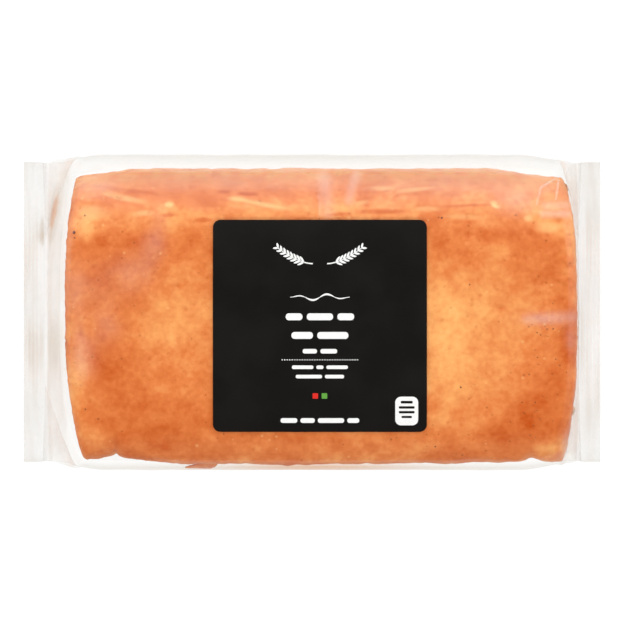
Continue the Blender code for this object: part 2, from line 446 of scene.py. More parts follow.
def seal_rings(side):
    """From the bag's outer edge inwards: ribs that the jaws pressed across the seal.

    Each ring comes with its share of the way along the gusset, which is 0 in the seal.
    """
    rings = []
    steps = round(SEAL_LENGTH / CRIMP_PITCH) * RINGS_PER_RIB
    section = film_seal_section(tucked=False)
    for step in range(steps + 1):
        x = side * (PACK_LENGTH / 2 - SEAL_LENGTH * step / steps)
        rib = CRIMP_HEIGHT * math.sin(2 * math.pi * step / RINGS_PER_RIB)
        row = np.column_stack((np.full(len(section), x), section))
        press = np.array([LEAST_CRIMP + MORE_CRIMP * crimp_press(x, y) for y in row[:, 1]])
        row[:, 2] += rib * press
        rings.append((row, 0.0))
    return rings


def shoulder_ring(side, turn):
    """A ring of the rounded edge between the loaf's end and its sides."""
    inset = SHOULDER_RADIUS * (1 - math.cos(turn))
    back = SHOULDER_RADIUS * (1 - math.sin(turn))
    section = film_loaf_section(inset)
    return placed(loaf_end(side, section[:, 0]) - side * back, section[:, 0], section[:, 1])


def gusset_rings(side):
    """From the seal to the shoulder: the panels open out, and the side folds come untucked."""
    seal_x = side * (SEAL_EDGE - WEB_LENGTH)
    section = film_seal_section(tucked=True)
    tucked = np.column_stack((np.full(len(section), seal_x), section))
    opened = shoulder_ring(side, SHOULDER_TURN)
    rings = [(tucked, 0.0)]
    for step in range(1, GUSSET_RINGS):
        share = step / GUSSET_RINGS
        lifted = share**LIFT_POWER * rises(share, 0.0, EASY_LIFT)
        shares = (share, 1 - (1 - share) ** FOLD_POWER, lifted)
        row = tucked + (opened - tucked) * shares
        bulge = math.sin(math.pi * share)
        flare = CORNER_FLARE * math.sin(math.pi * share**FLARE_POWER)
        upwards = np.sign(row[:, 2] - SEAL_MID_HEIGHT)
        pucker = PUCKER_HEIGHT * share * np.sin(2 * math.pi * row[:, 1] / PUCKER_LENGTH)
        outwards = np.sign(row[:, 1]) * (abs(row[:, 1]) / (SEAL_SPAN / 2)) ** FLARE_EDGE_POWER
        row[:, 1] += flare * outwards
        row[:, 2] += upwards * bulge * pucker
        rings.append((row, share))
    return rings


def film_end_rings(side):
    """From a seal to the loaf."""
    rings = seal_rings(side) + gusset_rings(side)
    for step in range(SHOULDER_RINGS):
        turn = SHOULDER_TURN * (1 - step / SHOULDER_RINGS)
        rings.append((shoulder_ring(side, turn), 1.0))
    return rings


def film_middle_rings():
    """Over the loaf, from the left to the right."""
    section = film_loaf_section(0.0)
    left = loaf_end(-1, section[:, 0]) + SHOULDER_RADIUS
    right = loaf_end(1, section[:, 0]) - SHOULDER_RADIUS
    rings = []
    for step in range(LOAF_RINGS + 1):
        x = left + (right - left) * step / LOAF_RINGS
        rings.append((placed(x, section[:, 0], section[:, 1]), 1.0))
    return rings


def cap_faces(first, around, outwards):
    """Quads that close the outer edge of a seal."""
    faces = []
    for step in range(around // 2):
        face = [
            first + step,
            first + step + 1,
            first + (around - step - 1) % around,
            first + (around - step) % around,
        ]
        face = [corner for number, corner in enumerate(face) if corner not in face[:number]]
        faces.append(face if outwards else face[::-1])
    return faces


# Soft milky film patches, partly haze and partly painted glare: x, y, reach along X and Y in mm,
# and strength.
MILKY_PATCHES = (
    (-63.5, 34.0, 3.5, 9.0, 0.08),
    (-75.0, 15.0, 9.0, 8.0, 0.07),
    (-68.0, 26.0, 4.0, 8.0, 0.05),
    (-97.5, -8.0, 3.0, 9.0, 0.07),
    (-92.0, 9.0, 10.0, 9.0, 0.06),
    (-96.0, -20.0, 5.0, 9.0, 0.09),
    (-86.0, -7.0, 6.0, 7.0, 0.06),
    (99.0, -3.0, 10.0, 3.0, 0.08),
    (108.5, -11.0, 2.2, 5.0, 0.10),
    (-91.0, 54.0, 9.0, 5.0, 0.10),
    (-20.0, 55.5, 50.0, 5.0, 0.08),
    (70.0, 54.0, 34.0, 7.0, 0.10),
    (86.0, 46.5, 8.0, 5.0, 0.10),
    (106.0, -54.0, 1.6, 4.0, 0.10),
    (-99.0, 12.0, 4.0, 16.0, 0.04),
)

# Where the film is greyer, partly as painted shade, or shows a painted reflection of the crust's
# colour: as above.
TINGED_PATCHES = (
    (-109.5, -14.0, 6.0, 13.0, 0.34),
    (-120.5, 24.0, 2.5, 14.0, 0.10),
    (-119.5, -16.0, 3.0, 12.0, 0.12),
    (-105.0, 58.0, 2.6, 4.5, 0.20),
    (-107.2, 50.5, 2.4, 3.0, 0.36),
    (-108.4, 46.5, 2.8, 3.0, 0.70),
    (-109.8, 42.0, 3.0, 3.0, 0.92),
    (-111.4, 37.5, 3.0, 3.0, 1.02),
    (-112.8, 32.5, 2.8, 3.2, 0.94),
    (-112.6, 27.0, 2.0, 5.0, 0.20),
    (114.0, -10.0, 2.8, 18.0, 0.20),
    (119.0, -46.0, 3.0, 9.0, 0.07),
    (119.0, 44.0, 3.0, 12.0, 0.05),
    (-60.0, 56.0, 44.0, 5.0, 0.20),
    (50.0, 56.0, 60.0, 5.0, 0.20),
    (0.0, -66.0, 130.0, 3.0, 0.26),
    (0.0, 65.0, 130.0, 4.0, 0.17),
)

# Where the film seen edge on shows a painted reflection of the crust's colour: as above.
EDGE_PATCHES = ((2.0, -65.4, 38.0, 2.6, 0.88),)

PATCH_LIMIT = 9.0  # a patch isn't felt past this, which is 3 reaches squared
FILM_MILKINESS = 0.11  # of the seals and, fading towards the loaf, of the gussets
INNER_MILKINESS = 0.02  # what the seals add away from their inner edge,
CRIMP_MILKINESS = 0.08  # and where the jaws pressed
TINGE_FADE = 0.012  # above the widest height, the patches' strength comes in over this
TINGE_INSIDE = 0.008  # the even tinge starts this far inside the seal
LEAST_TINGE = 0.4  # its share at the seal's inner edge
BLOTCHES = ((0.6, (0.0022, 0.019, 1.0), 4.0), (0.6, (0.014, 0.022, 1.0), 8.0))


def patches_at(point, patches):
    """The sum of soft round patches at a point of the plan."""
    total = 0.0
    for patch_x, patch_y, reach_x, reach_y, strength in patches:
        away = ((point[0] / MM - patch_x) / reach_x) ** 2
        away += ((point[1] / MM - patch_y) / reach_y) ** 2
        if away < PATCH_LIMIT:
            total += strength * math.exp(-away)
    return total


def share_into_seal(point):
    """0 at a seal's inner edge, and 1 a little further into it."""
    return rises(abs(point[0]), SEAL_EDGE, SEAL_EDGE + SEAL_FADE)


def milkiness(point, gusset_share, in_seal):
    """How milky the film is at a point, from 0 to 1, with painted glare in the patches over the
    loaf.
    """
    if in_seal:
        crimped = CRIMP_MILKINESS * crimp_press(point[0], point[1])
        return FILM_MILKINESS + share_into_seal(point) * (INNER_MILKINESS + crimped)
    milk = FILM_MILKINESS * (1 - gusset_share)
    if point[2] > WIDEST_HEIGHT:
        milk += patches_at(point, MILKY_PATCHES)
    return milk


def tinge(point, in_seal, in_fold):
    """How grey the film is at a point, partly as painted shade, or how far it shows a painted
    reflection of the crust's colour.
    """
    if in_seal:
        even = SEAL_TINGE * max(1 + sum(waves(point, kind) for kind in BLOTCHES), 0.0)
        inside = LEAST_TINGE + (1 - LEAST_TINGE) * share_into_seal(point)
        return even * inside + patches_at(point, TINGED_PATCHES)
    if in_fold or point[2] < WIDEST_HEIGHT:
        return 0.0
    upper = rises(point[2], WIDEST_HEIGHT, WIDEST_HEIGHT + TINGE_FADE)
    even = LEAST_TINGE * SEAL_TINGE * rises(abs(point[0]), SEAL_EDGE - TINGE_INSIDE, SEAL_EDGE)
    return even + upper * patches_at(point, TINGED_PATCHES)


def edge_blush(point):
    """How strongly the film shows a painted reflection of the crust where it's seen edge on."""
    return patches_at(point, EDGE_PATCHES) if point[2] > WIDEST_HEIGHT else 0.0


def base_lift(y):
    """How far the fin seal holds the film's base off the table."""
    return FIN_LIFT * (1 - rises(abs(y), FIN_HALF_WIDTH, FIN_HALF_WIDTH + FIN_EASE))


def make_film(material):
    """The clear bag, one closed wall from the left seal to the right one."""
    rings = film_end_rings(-1) + film_middle_rings() + film_end_rings(1)[::-1]
    grid = np.array([row for row, _ in rings])
    shares = [share for _, share in rings]
    seal_count = round(SEAL_LENGTH / CRIMP_PITCH) * RINGS_PER_RIB + 1
    normals = ring_normals(grid)
    around = grid.shape[1]
    milk, tinged = np.zeros(grid.shape[:2]), np.zeros(grid.shape[:2])
    for ring, share in enumerate(shares):
        in_seal = ring < seal_count or ring >= len(rings) - seal_count
        for step in range(around):
            point = grid[ring, step]
            milk[ring, step] = milkiness(point, share, in_seal)
            in_fold = share < 1.0 and min(step, around // 2 - step) < FOLD_POINTS
            tinged[ring, step] = tinge(point, in_seal, in_fold)
            if not in_seal and share > 0.0:
                relief = film_relief(point, share) * min(share / RELIEF_WHOLE, 1.0)
                moved = point + normals[ring, step] * relief
                moved[2] = max(moved[2], base_lift(moved[1]))
                grid[ring, step] = moved
    faces = ring_faces(len(rings), around)
    faces += cap_faces(0, around, outwards=True)
    faces += cap_faces((len(rings) - 1) * around, around, outwards=False)
    film = make_piece("film", grid.reshape(-1, 3), faces, material)
    film.data.set_sharp_from_angle(angle=SHARP_TURN)
    for first in (seal_count - 1, len(rings) - seal_count - 1):
        for face in film.data.polygons[first * around : (first + 1) * around]:
            face.use_smooth = False
    # The film's milkiness, with painted glare over the loaf.
    store_values(film, "milk", milk.reshape(-1))
    # The seals' grey and painted shade, or a painted reflection of the crust.
    store_values(film, "tinge", tinged.reshape(-1))
    # A painted reflection of the crust where the film is seen edge on.
    store_values(film, "edge", [edge_blush(point) for point in grid.reshape(-1, 3)])
    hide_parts("film_pack")
    return film


def fin_height(x, y):
    """The top of the fin seal, which is ribbed across and thins out towards its ends."""
    rib = FIN_RIB * math.sin(2 * math.pi * x / CRIMP_PITCH)
    ends = rises(x, -FIN_REACH, -FIN_REACH + FIN_END)
    ends *= 1 - rises(x, FIN_REACH - FIN_END, FIN_REACH)
    return FIN_BASE + (FIN_THICKNESS + rib) * ends


def make_fin_seal(material):
    """The bag's lengthwise seal, a flat strip under the loaf."""
    rows = [
        (FIN_HALF_WIDTH * (2 * number / FIN_STEPS - 1), -FIN_REACH, FIN_REACH)
        for number in range(FIN_STEPS + 1)
    ]
    points, faces = plate(rows, fin_height, FIN_SHEET)
    fin_seal = make_piece("fin_seal", points, faces, material)
    store_even(fin_seal, milk=FIN_MILKINESS, tinge=0.0, edge=0.0)


# --- The cake ------------------------------------------------------------------------------------

CAKE_QUARTERS = (
    (-1, 1, CAKE_NEAR_HALF, CAKE_TOP - WIDEST_HEIGHT, CAKE_NEAR_ROUNDNESS, CAKE_NEAR_POINTS),
    (1, 1, CAKE_FAR_HALF, CAKE_TOP - WIDEST_HEIGHT, CAKE_FAR_ROUNDNESS, CAKE_FAR_POINTS),
    (1, -1, CAKE_FAR_HALF, WIDEST_HEIGHT - CAKE_BASE, CAKE_BASE_ROUNDNESS, CAKE_BASE_POINTS),
    (-1, -1, CAKE_NEAR_HALF, WIDEST_HEIGHT - CAKE_BASE, CAKE_BASE_ROUNDNESS, CAKE_BASE_POINTS),
)


def cake_section(inset):
    """The loaf's section. Towards its ends it is cut back by inset above, and less at the sides."""

    def quarter_line(number):
        side_y, side_z, half, height, roundness, count = CAKE_QUARTERS[number]
        half = half - inset * CAKE_SIDE_INSET
        line = superellipse(half, height - inset, roundness, 0.0, math.pi / 2)
        return evenly(line, count) * (side_y, side_z) + (0.0, WIDEST_HEIGHT)

    return round_section(quarter_line)


def cake_end(side, y):
    """The end of the loaf at y. The left end is drawn in towards its near corner."""
    gap = CAKE_RIGHT_GAP if side > 0 else CAKE_LEFT_GAP
    nearness = np.clip(-y / CAKE_NEAR_HALF, 0.0, 1.0)
    farness = np.clip(y / CAKE_FAR_HALF, 0.0, 1.0)
    drawn_in = LEFT_DRAWN_IN * (nearness - farness**6) + LEFT_CORNER_DRAWN_IN * nearness**8
    return loaf_end(side, y) - side * (gap + (drawn_in if side < 0 else 0.0))


def cake_rows():
    """The rings of the loaf, from the middle of its left face to the middle of its right one."""
    rows = []
    section = cake_section(0.0)
    left = cake_end(-1, section[:, 0]) + CAKE_RIM_RADIUS
    right = cake_end(1, section[:, 0]) - CAKE_RIM_RADIUS
    for step in range(CAKE_RINGS + 1):
        x = left + (right - left) * step / CAKE_RINGS
        rows.append(np.column_stack((x, section)))
    for side in (-1, 1):
        outer = []
        for step in range(1, CAKE_RIM_RINGS + 1):
            turn = math.pi / 2 * step / CAKE_RIM_RINGS
            section = cake_section(CAKE_RIM_RADIUS * (1 - math.cos(turn)))
            back = CAKE_RIM_RADIUS * (1 - math.sin(turn))
            outer.append(np.column_stack((cake_end(side, section[:, 0]) - side * back, section)))
        face_section = outer[-1][:, 1:]
        for step in range(1, CAKE_FACE_RINGS):
            share = (1 - step / CAKE_FACE_RINGS) ** FACE_RING_POWER
            section = face_section * share + (0.0, WIDEST_HEIGHT * (1 - share))
            outer.append(np.column_stack((cake_end(side, section[:, 0]), section)))
        rows = rows + outer if side > 0 else outer[::-1] + rows
    return np.array(rows)


def far_taper(x, y):
    """The far side of the loaf draws in a little towards both ends."""
    return y * (1 - FAR_TAPER * rises(abs(x), TAPER_START, TAPER_WHOLE)) if y > 0 else y


# How far the lip of crust along the near edge falls short of its usual line: x and amount, in mm.
LIP_LINE = (
    (-104.0, -1.2),
    (-94.9, -0.7),
    (-93.5, -1.5),
    (-91.0, -2.1),
    (-87.5, -2.7),
    (-84.0, -3.6),
    (-82.7, -4.7),
    (-81.4, -3.3),
    (-78.0, -2.1),
    (-68.0, -0.8),
    (-59.0, -0.1),
    (-52.0, 0.3),
    (-30.0, 0.2),
    (-17.0, 0.6),
    (20.0, 0.4),
    (36.0, -0.1),
    (60.0, -0.2),
    (86.0, -0.4),
    (89.5, -1.2),
    (92.3, -2.5),
    (95.0, -1.5),
    (98.0, -0.8),
    (105.0, -0.5),
    (112.0, -0.5),
)


# The lip's roughness: height, length of its waves, and shifts of the noise.
LIP_ROUGHNESS = ((0.00030, 0.0042, 0.0, 5.0), (0.00016, 0.0017, 4.0, 0.0))
LIP_STARTS = 0.045  # how far from the middle the lip starts, and where it is whole
LIP_WHOLE = 0.059


def near_lip(x):
    """How far the lip of crust stands out at x, in metres. A torn place is below 0."""
    places, amounts = zip(*LIP_LINE)
    lip = LIP_REACH + float(np.interp(x / MM, places, amounts)) * MM
    for height, length, shift, more_shift in LIP_ROUGHNESS:
        lip += height * noise.noise((x / length, shift, more_shift))
    return lip


def lip_offset(x, y, z):
    """How far the lip pushes a point of the near side out."""
    if -y < LIP_STARTS:
        return 0.0
    lip = near_lip(x)
    under = bump_at(z, LIP_HEIGHT, LIP_SPREAD) if z < LIP_HEIGHT else 1.0
    return (max(lip, 0.0) * under + min(lip, 0.0)) * rises(-y, LIP_STARTS, LIP_WHOLE)


# Kinds of relief, for waves().
CRUST_WAVES = (
    (0.00035, (0.016, 0.016, 0.016), 0.0),
    (0.00018, (0.0042, 0.0042, 0.0042), 9.0),
    (0.0001, (0.0019, 0.0019, 0.0019), 2.0),
)
END_WAVES = (0.00042, (0.0024, 0.0024, 0.0024), 5.0)
WALL_WAVES = (0.0006, (0.0060, 0.0060, 0.0045), 6.0)
BAKE_WAVES = ((0.20, (0.020, 0.017, 0.020), 11.0), (0.12, (0.007, 0.007, 0.007), 13.0))
FLAKES = ((1.0, (0.016, 0.016, 0.009), 21.0), (0.45, (0.004, 0.004, 0.004), 3.0))

STREAK_DEPTH = 0.0006
PEEL_DEPTH = 0.0008
ENDS_START = 0.094
ENDS_WHOLE = 0.103
WALL_WHOLE = 0.045  # the walls' relief is whole below this height, and gone above the next
WALL_GONE = 0.056


def crust_relief(point):
    """The loaf's surface relief at a point, measured outwards."""
    relief = sum(waves(point, kind) for kind in CRUST_WAVES)
    relief -= STREAK_DEPTH * streak_share(point, PALE_STREAKS)
    relief += rises(abs(point[0]), ENDS_START, ENDS_WHOLE) * waves(point, END_WAVES)
    wall = 1 - rises(point[2], WALL_WHOLE, WALL_GONE)
    return relief + wall * (waves(point, WALL_WAVES) - PEEL_DEPTH * peeled(point))


# Stretches of crust that baked darker or paler, and a paler strip of painted light along the near
# edge where the crust turns down into shade: x, y, reach along X and Y in mm, and change.
BAKED_PATCHES = (
    (-72.0, 27.0, 15.0, 7.0, 0.28),
    (-88.0, 14.0, 7.0, 7.0, 0.22),
    (-72.0, 10.0, 12.0, 10.0, 0.10),
    (-46.0, 25.0, 9.0, 8.0, 0.20),
    (-97.0, 29.0, 5.0, 5.0, 0.10),
    (-90.0, -18.0, 5.0, 10.0, 0.16),
    (-83.0, -24.0, 6.0, 16.0, 0.18),
    (-98.0, -34.0, 6.0, 14.0, -0.26),
    (-78.0, -46.0, 24.0, 10.0, 0.27),
    (-50.0, -53.0, 24.0, 7.0, 0.14),
    (-47.0, -32.0, 8.0, 7.0, 0.18),
    (-46.0, 45.0, 9.0, 4.0, 0.30),
    (-64.0, 50.0, 18.0, 5.0, 0.18),
    (-20.0, 52.0, 26.0, 5.0, 0.30),
    (22.0, 52.0, 18.0, 5.0, 0.16),
    (0.0, 43.0, 22.0, 3.0, -0.30),
    (41.0, 42.0, 8.0, 4.0, -0.26),
    (0.0, -56.0, 60.0, 6.0, 0.10),
    # Painted light: a paler strip along the near edge, where the crust turns down into shade.
    (-20.0, -62.0, 75.0, 3.2, -0.08),
    (60.0, -60.0, 16.0, 3.0, 0.30),
    (-88.0, -61.0, 12.0, 3.0, 0.20),
    (-93.0, 38.0, 8.0, 6.0, -0.36),
    (-60.0, 41.0, 20.0, 5.0, -0.26),
    (-54.0, -2.0, 14.0, 20.0, -0.16),
    (-64.0, 1.5, 4.0, 6.0, -0.26),
    (-61.0, -15.0, 6.0, 5.0, -0.16),
    (-90.0, -51.0, 7.0, 4.5, -0.40),
    (76.0, 32.0, 20.0, 4.0, 0.24),
    (102.0, 18.0, 5.0, 10.0, 0.22),
    (98.0, 41.0, 10.0, 9.0, -0.34),
    (107.0, 34.0, 4.0, 9.0, -0.20),
    (88.0, 51.0, 10.0, 6.0, -0.16),
    (56.0, -5.0, 15.0, 18.0, -0.52),
    (54.0, -26.0, 10.0, 14.0, -0.22),
    (70.0, -25.0, 16.0, 13.0, -0.22),
    (80.0, 2.0, 14.0, 14.0, -0.16),
    (58.0, -46.0, 6.0, 5.0, -0.20),
    (107.0, -10.0, 4.0, 13.0, 0.22),
    (98.0, -30.0, 10.0, 12.0, 0.28),
    (92.0, -45.0, 14.0, 9.0, 0.30),
    (76.0, -52.0, 14.0, 5.0, 0.24),
    (99.0, -57.5, 8.0, 2.0, -0.24),
    (103.0, -53.5, 3.0, 3.0, -0.20),
    (97.0, -53.0, 4.0, 1.8, 0.14),
    (30.0, 50.0, 60.0, 8.0, -0.06),
    (-40.0, 50.0, 50.0, 8.0, -0.06),
    (-98.0, 12.0, 5.0, 16.0, 0.06),
)

# Streaks along the far band and the edges, where the crust split and its inside shows: x, y,
# reach along and across in mm, tilt in degrees, and strength.
PALE_STREAKS = (
    (-78.8, 48.0, 9.5, 1.3, -12.0, 0.50),
    (-59.8, 45.2, 1.9, 1.2, 0.0, 0.85),
    (-70.2, 41.6, 3.8, 1.2, 0.0, 0.45),
    (-92.0, 42.0, 6.5, 3.0, -8.0, 0.34),
    (-97.0, 36.0, 3.0, 4.5, 0.0, 0.18),
    (-31.0, 47.5, 4.2, 1.0, -5.0, 0.55),
    (-19.7, 45.2, 9.0, 1.1, -10.0, 0.60),
    (29.4, 52.2, 5.4, 1.0, 0.0, 0.42),
    (43.0, 51.5, 8.0, 1.0, 6.0, 0.42),
    (20.2, 45.8, 3.8, 1.0, 8.0, 0.35),
    (48.7, 43.2, 5.0, 1.2, 0.0, 0.35),
    (76.9, 45.2, 2.2, 1.4, -30.0, 0.85),
    (63.4, 39.9, 8.0, 1.2, -2.0, 0.28),
    (90.8, 39.4, 1.8, 1.4, 0.0, 0.55),
    (99.0, 35.5, 5.0, 2.4, 0.0, 0.32),
    (105.3, -56.4, 1.3, 3.4, 15.0, 0.12),
)

# Streaks that baked darker: the same values.
DARK_STREAKS = (
    (-77.3, 51.2, 13.5, 1.0, -8.0, 0.28),
    (-37.0, 50.6, 2.4, 0.8, 0.0, 0.40),
    (-27.3, 49.6, 4.6, 0.9, -3.0, 0.55),
    (29.8, 42.2, 10.5, 1.1, 0.0, 0.45),
    (11.3, 41.0, 5.0, 0.8, 3.0, 0.35),
    (66.0, 44.7, 8.0, 0.7, 2.0, 0.36),
    (-60.1, 40.6, 3.0, 0.9, 0.0, 0.45),
    (-45.8, 38.6, 3.2, 1.0, 0.0, 0.45),
    (-98.7, 57.5, 1.4, 1.0, 0.0, 0.70),
    (-88.5, 30.0, 4.0, 2.0, -35.0, 0.25),
    (92.0, 33.0, 3.0, 1.6, -50.0, 0.30),
    (-60.0, -61.0, 40.0, 0.9, 2.0, 0.14),
)


STREAKS_ABOVE = 0.040


def streak_share(point, streaks):
    """The sum of the streaks at a point of the loaf's top."""
    x, y, z = point
    if z < STREAKS_ABOVE:
        return 0.0
    total = 0.0
    for middle_x, middle_y, along, across, tilt, strength in streaks:
        right, up = x / MM - middle_x, y / MM - middle_y
        if abs(right) < 2 * along + 2 and abs(up) < 2 * along + 2:
            turn = math.radians(tilt)
            length = (right * math.cos(turn) + up * math.sin(turn)) / along
            width = (up * math.cos(turn) - right * math.sin(turn)) / across
            total += strength * math.exp(-((length**2 + width**2) ** 2))
    return total


BAKE_MIDDLE = 0.5
BAKE_REACH = 0.75  # the palest and darkest places stay within this of the middle
NEAR_PEELS = (0.040, 0.050)  # the sides' crust peels below the first height, not above the second
FAR_PEELS = (0.022, 0.032)
FLAKE_EDGE = (0.22, 0.34)
PEELED_PALENESS = 0.75
TORN_PALENESS = 0.12
TORN_EDGE = (-0.0004, 0.0012)  # the lip's shortfall where a torn place starts, and is whole
TORN_RIM = (0.0570, 0.0590)


def bake(point):
    """How dark the crust is at a point, from its baking and from painted light along the near edge:
    0 is pale, 1 is dark.
    """
    change = 0.0
    if point[2] > WIDEST_HEIGHT:
        change += patches_at(point, BAKED_PATCHES) + streak_share(point, DARK_STREAKS)
    change += sum(waves(point, kind) for kind in BAKE_WAVES)
    return BAKE_MIDDLE + BAKE_REACH * math.tanh(change / BAKE_REACH)


def peeled(point):
    """Where the crust of a side stayed behind on the tin, from 0 to 1."""
    below = 1 - rises(point[2], *(NEAR_PEELS if point[1] < 0 else FAR_PEELS))
    return below * rises(sum(waves(point, kind) for kind in FLAKES), *FLAKE_EDGE)


def paleness(point):
    """How far the pale inside shows through the crust: in streaks, tears and peeled places."""
    x, y, z = point
    pale = streak_share(point, PALE_STREAKS) + PEELED_PALENESS * peeled(point)
    if z > STREAKS_ABOVE and -y > TORN_RIM[0]:
        pale += TORN_PALENESS * rises(-near_lip(x), *TORN_EDGE) * rises(-y, *TORN_RIM)
    return min(pale, 1.0)


PIT_COUNT = 560
PIT_SEED = 41
PIT_RADII = (0.0007, 0.0015)
PIT_DEPTHS = (0.35, 0.9)  # in radii
PIT_SPREAD = 1.5  # in radii: points this far off are looked at
PIT_WIDTH = 0.62
PIT_SHARE = 0.6
FACE_STARTS = 0.090
FACE_MIDDLE = 0.55


def in_face_middle(point):
    """Whether a point is in the middle of an end face, where the mesh's points crowd together."""
    away = math.hypot(point[1] / CAKE_NEAR_HALF, point[2] / WIDEST_HEIGHT - 1)
    return away < FACE_MIDDLE and abs(point[0]) > FACE_STARTS


def press_pits(points, normals):
    """Presses small round pits into the crust, and returns how deep in a pit each point lies."""
    tree = kdtree.KDTree(len(points))
    for number, point in enumerate(points):
        tree.insert(point, number)
    tree.balance()
    draw = random.Random(PIT_SEED)
    depths = np.zeros(len(points))
    for _ in range(PIT_COUNT):
        centre = points[draw.randrange(len(points))]
        radius = draw.uniform(*PIT_RADII)
        depth = draw.uniform(*PIT_DEPTHS) * radius
        if in_face_middle(centre):
            continue
        for _, number, distance in tree.find_range(centre, radius * PIT_SPREAD):
            share = bump_at(distance, 0.0, radius * PIT_WIDTH)
            depths[number] = max(depths[number], share)
            points[number] -= normals[number] * depth * share * PIT_SHARE
    return depths


WALL_COLOUR_FADE = (0.046, 0.057)  # the walls' colour is whole below, and gone above


def store_crust(piece, points, pits):
    """Gives a piece of cake the values that the crust's material reads."""
    store_values(piece, "bake", [bake(point) for point in points])
    store_values(piece, "pale", [paleness(point) for point in points])
    store_values(piece, "wall", [1 - rises(point[2], *WALL_COLOUR_FADE) for point in points])
    # How deep in a pit each point lies, which the painted shade in the pits follows.
    store_values(piece, "pit", pits)


def surface_tree(piece):
    """A piece's faces, ready for finding the nearest spot on them."""
    corners = [vertex.co for vertex in piece.data.vertices]
    return BVHTree.FromPolygons(corners, [tuple(face.vertices) for face in piece.data.polygons])


def keep_inside(points, film_tree, gap):
    """Moves the points that stand nearer to the film than gap, or outside it, back in."""
    for number, point in enumerate(points):
        spot, outwards, _, _ = film_tree.find_nearest(point, FILM_SEARCH)
        if spot is not None:
            short = (Vector(point) - spot).dot(outwards) + gap
            if short > 0.0:
                points[number] -= np.array(outwards) * short


def make_cake(material, film):
    """The loaf, kept inside the film."""
    grid = cake_rows()
    rings, around = grid.shape[:2]
    for row in grid:
        for point in row:
            point[1] = far_taper(point[0], point[1]) - lip_offset(*point)
        row[:, 2] = with_swell(row[:, 0], row[:, 2])
    film_tree = surface_tree(film)
    even = grid.reshape(-1, 3)
    keep_inside(even, film_tree, CRUST_GAP)
    normals = ring_normals(grid).reshape(-1, 3)
    relief = np.array([crust_relief(point) for point in even])
    points = even + normals * relief[:, None]
    pits = press_pits(points, normals)
    points[:, 2] = np.maximum(points[:, 2], LOWEST_CRUST)
    keep_inside(points, film_tree, LEAST_GAP)
    poles = [points[:around].mean(axis=0), points[-around:].mean(axis=0)]
    faces = ring_faces(rings, around)
    last = (rings - 1) * around
    for step in range(around):
        onwards = (step + 1) % around
        faces.append((len(points), step, onwards))
        faces.append((len(points) + 1, last + onwards, last + step))
    cake = make_piece("cake", np.vstack((points, poles)), faces, material)
    store_crust(cake, np.vstack((even, poles)), [*pits, 0.0, 0.0])
    return cake


# The torn bit of crust that hangs from the near edge against the film: x, y, z and half-widths
# across and upright, in mm.
FLAP_LINE = (
    (-53.8, -66.1, 40.5, 0.45, 0.8),
    (-51.0, -65.8, 41.0, 0.95, 1.6),
    (-48.0, -65.5, 42.0, 1.35, 2.4),
    (-45.6, -65.1, 43.4, 1.80, 3.0),
    (-43.8, -64.4, 45.2, 2.50, 3.4),
    (-42.8, -63.4, 47.2, 2.90, 3.6),
    (-42.4, -62.2, 49.0, 3.00, 3.6),
    (-42.4, -60.8, 50.2, 2.80, 3.2),
)
FLAP_AROUND = 18
FLAP_RINGS = 40
FLAP_WAVES = (0.25, (0.0013, 0.0013, 0.0013), 0.0)
FLAP_BAKE = 0.35
FLAP_PALENESS = 0.12
FLAP_MOTTLE = 0.7


def make_flap(material):
    """The torn bit of crust, a closed tongue along its line."""
    line = np.array(FLAP_LINE) * MM
    shares = np.linspace(0.0, 1.0, len(line))
    wanted = np.linspace(0.0, 1.0, FLAP_RINGS)
    rings = np.column_stack([np.interp(wanted, shares, column) for column in line.T])
    points = []
    for ring, (x, y, z, across, upright) in enumerate(rings):
        before, after = rings[max(ring - 1, 0)], rings[min(ring + 1, FLAP_RINGS - 1)]
        run = math.hypot(after[0] - before[0], after[1] - before[1])
        aside = ((before[1] - after[1]) / run, (after[0] - before[0]) / run)
        for step in range(FLAP_AROUND):
            turn = 2 * math.pi * step / FLAP_AROUND
            rough = 1 + waves((x, y + turn * MM, z), FLAP_WAVES)
            sideways = across * math.cos(turn) * rough
            point_y = max(y + aside[1] * sideways, -FLAP_LIMIT)
            points.append((x + aside[0] * sideways, point_y, z + upright * math.sin(turn) * rough))
    faces = ring_faces(FLAP_RINGS, FLAP_AROUND)
    faces.append(tuple(range(FLAP_AROUND)))
    faces.append(tuple((FLAP_RINGS - 1) * FLAP_AROUND + step for step in range(FLAP_AROUND))[::-1])
    flap = make_piece("crust_flap", points, faces, material)
    store_even(flap, bake=FLAP_BAKE, wall=0.0, pit=0.0)
    mottled = 1 + np.sin(FLAP_MOTTLE * np.arange(len(points)))
    store_values(flap, "pale", FLAP_PALENESS * mottled)


# --- Colours and nodes ---------------------------------------------------------------------------


def linear(red, green, blue):
    """A colour given from 0 to 255, as the shaders take it."""
    shares = [value / 255 for value in (red, green, blue)]
    return tuple(s / 12.92 if s <= 0.04045 else ((s + 0.055) / 1.055) ** 2.4 for s in shares)


def fill(tree, node, inputs):
    """Fills a node's inputs: one given as a socket is linked, and any other value is set."""
    for name, value in inputs.items():
        socket = node.inputs[name]
        if isinstance(value, bpy.types.NodeSocket):
            tree.links.new(value, socket)
        elif socket.type == "RGBA":
            socket.default_value = (*value, 1.0)
        else:
            socket.default_value = value


def put(tree, kind, inputs=None, **settings):
    """Adds a node, with its settings and its filled inputs."""
    node = tree.nodes.new(kind)
    for name, value in settings.items():
        setattr(node, name, value)
    fill(tree, node, inputs or {})
    return node


def calculate(tree, operation, *values, clamp=False):
    """The result of a math operation on one, two or three values."""
    inputs = dict(enumerate(values))
    return put(tree, "ShaderNodeMath", inputs, operation=operation, use_clamp=clamp).outputs[0]


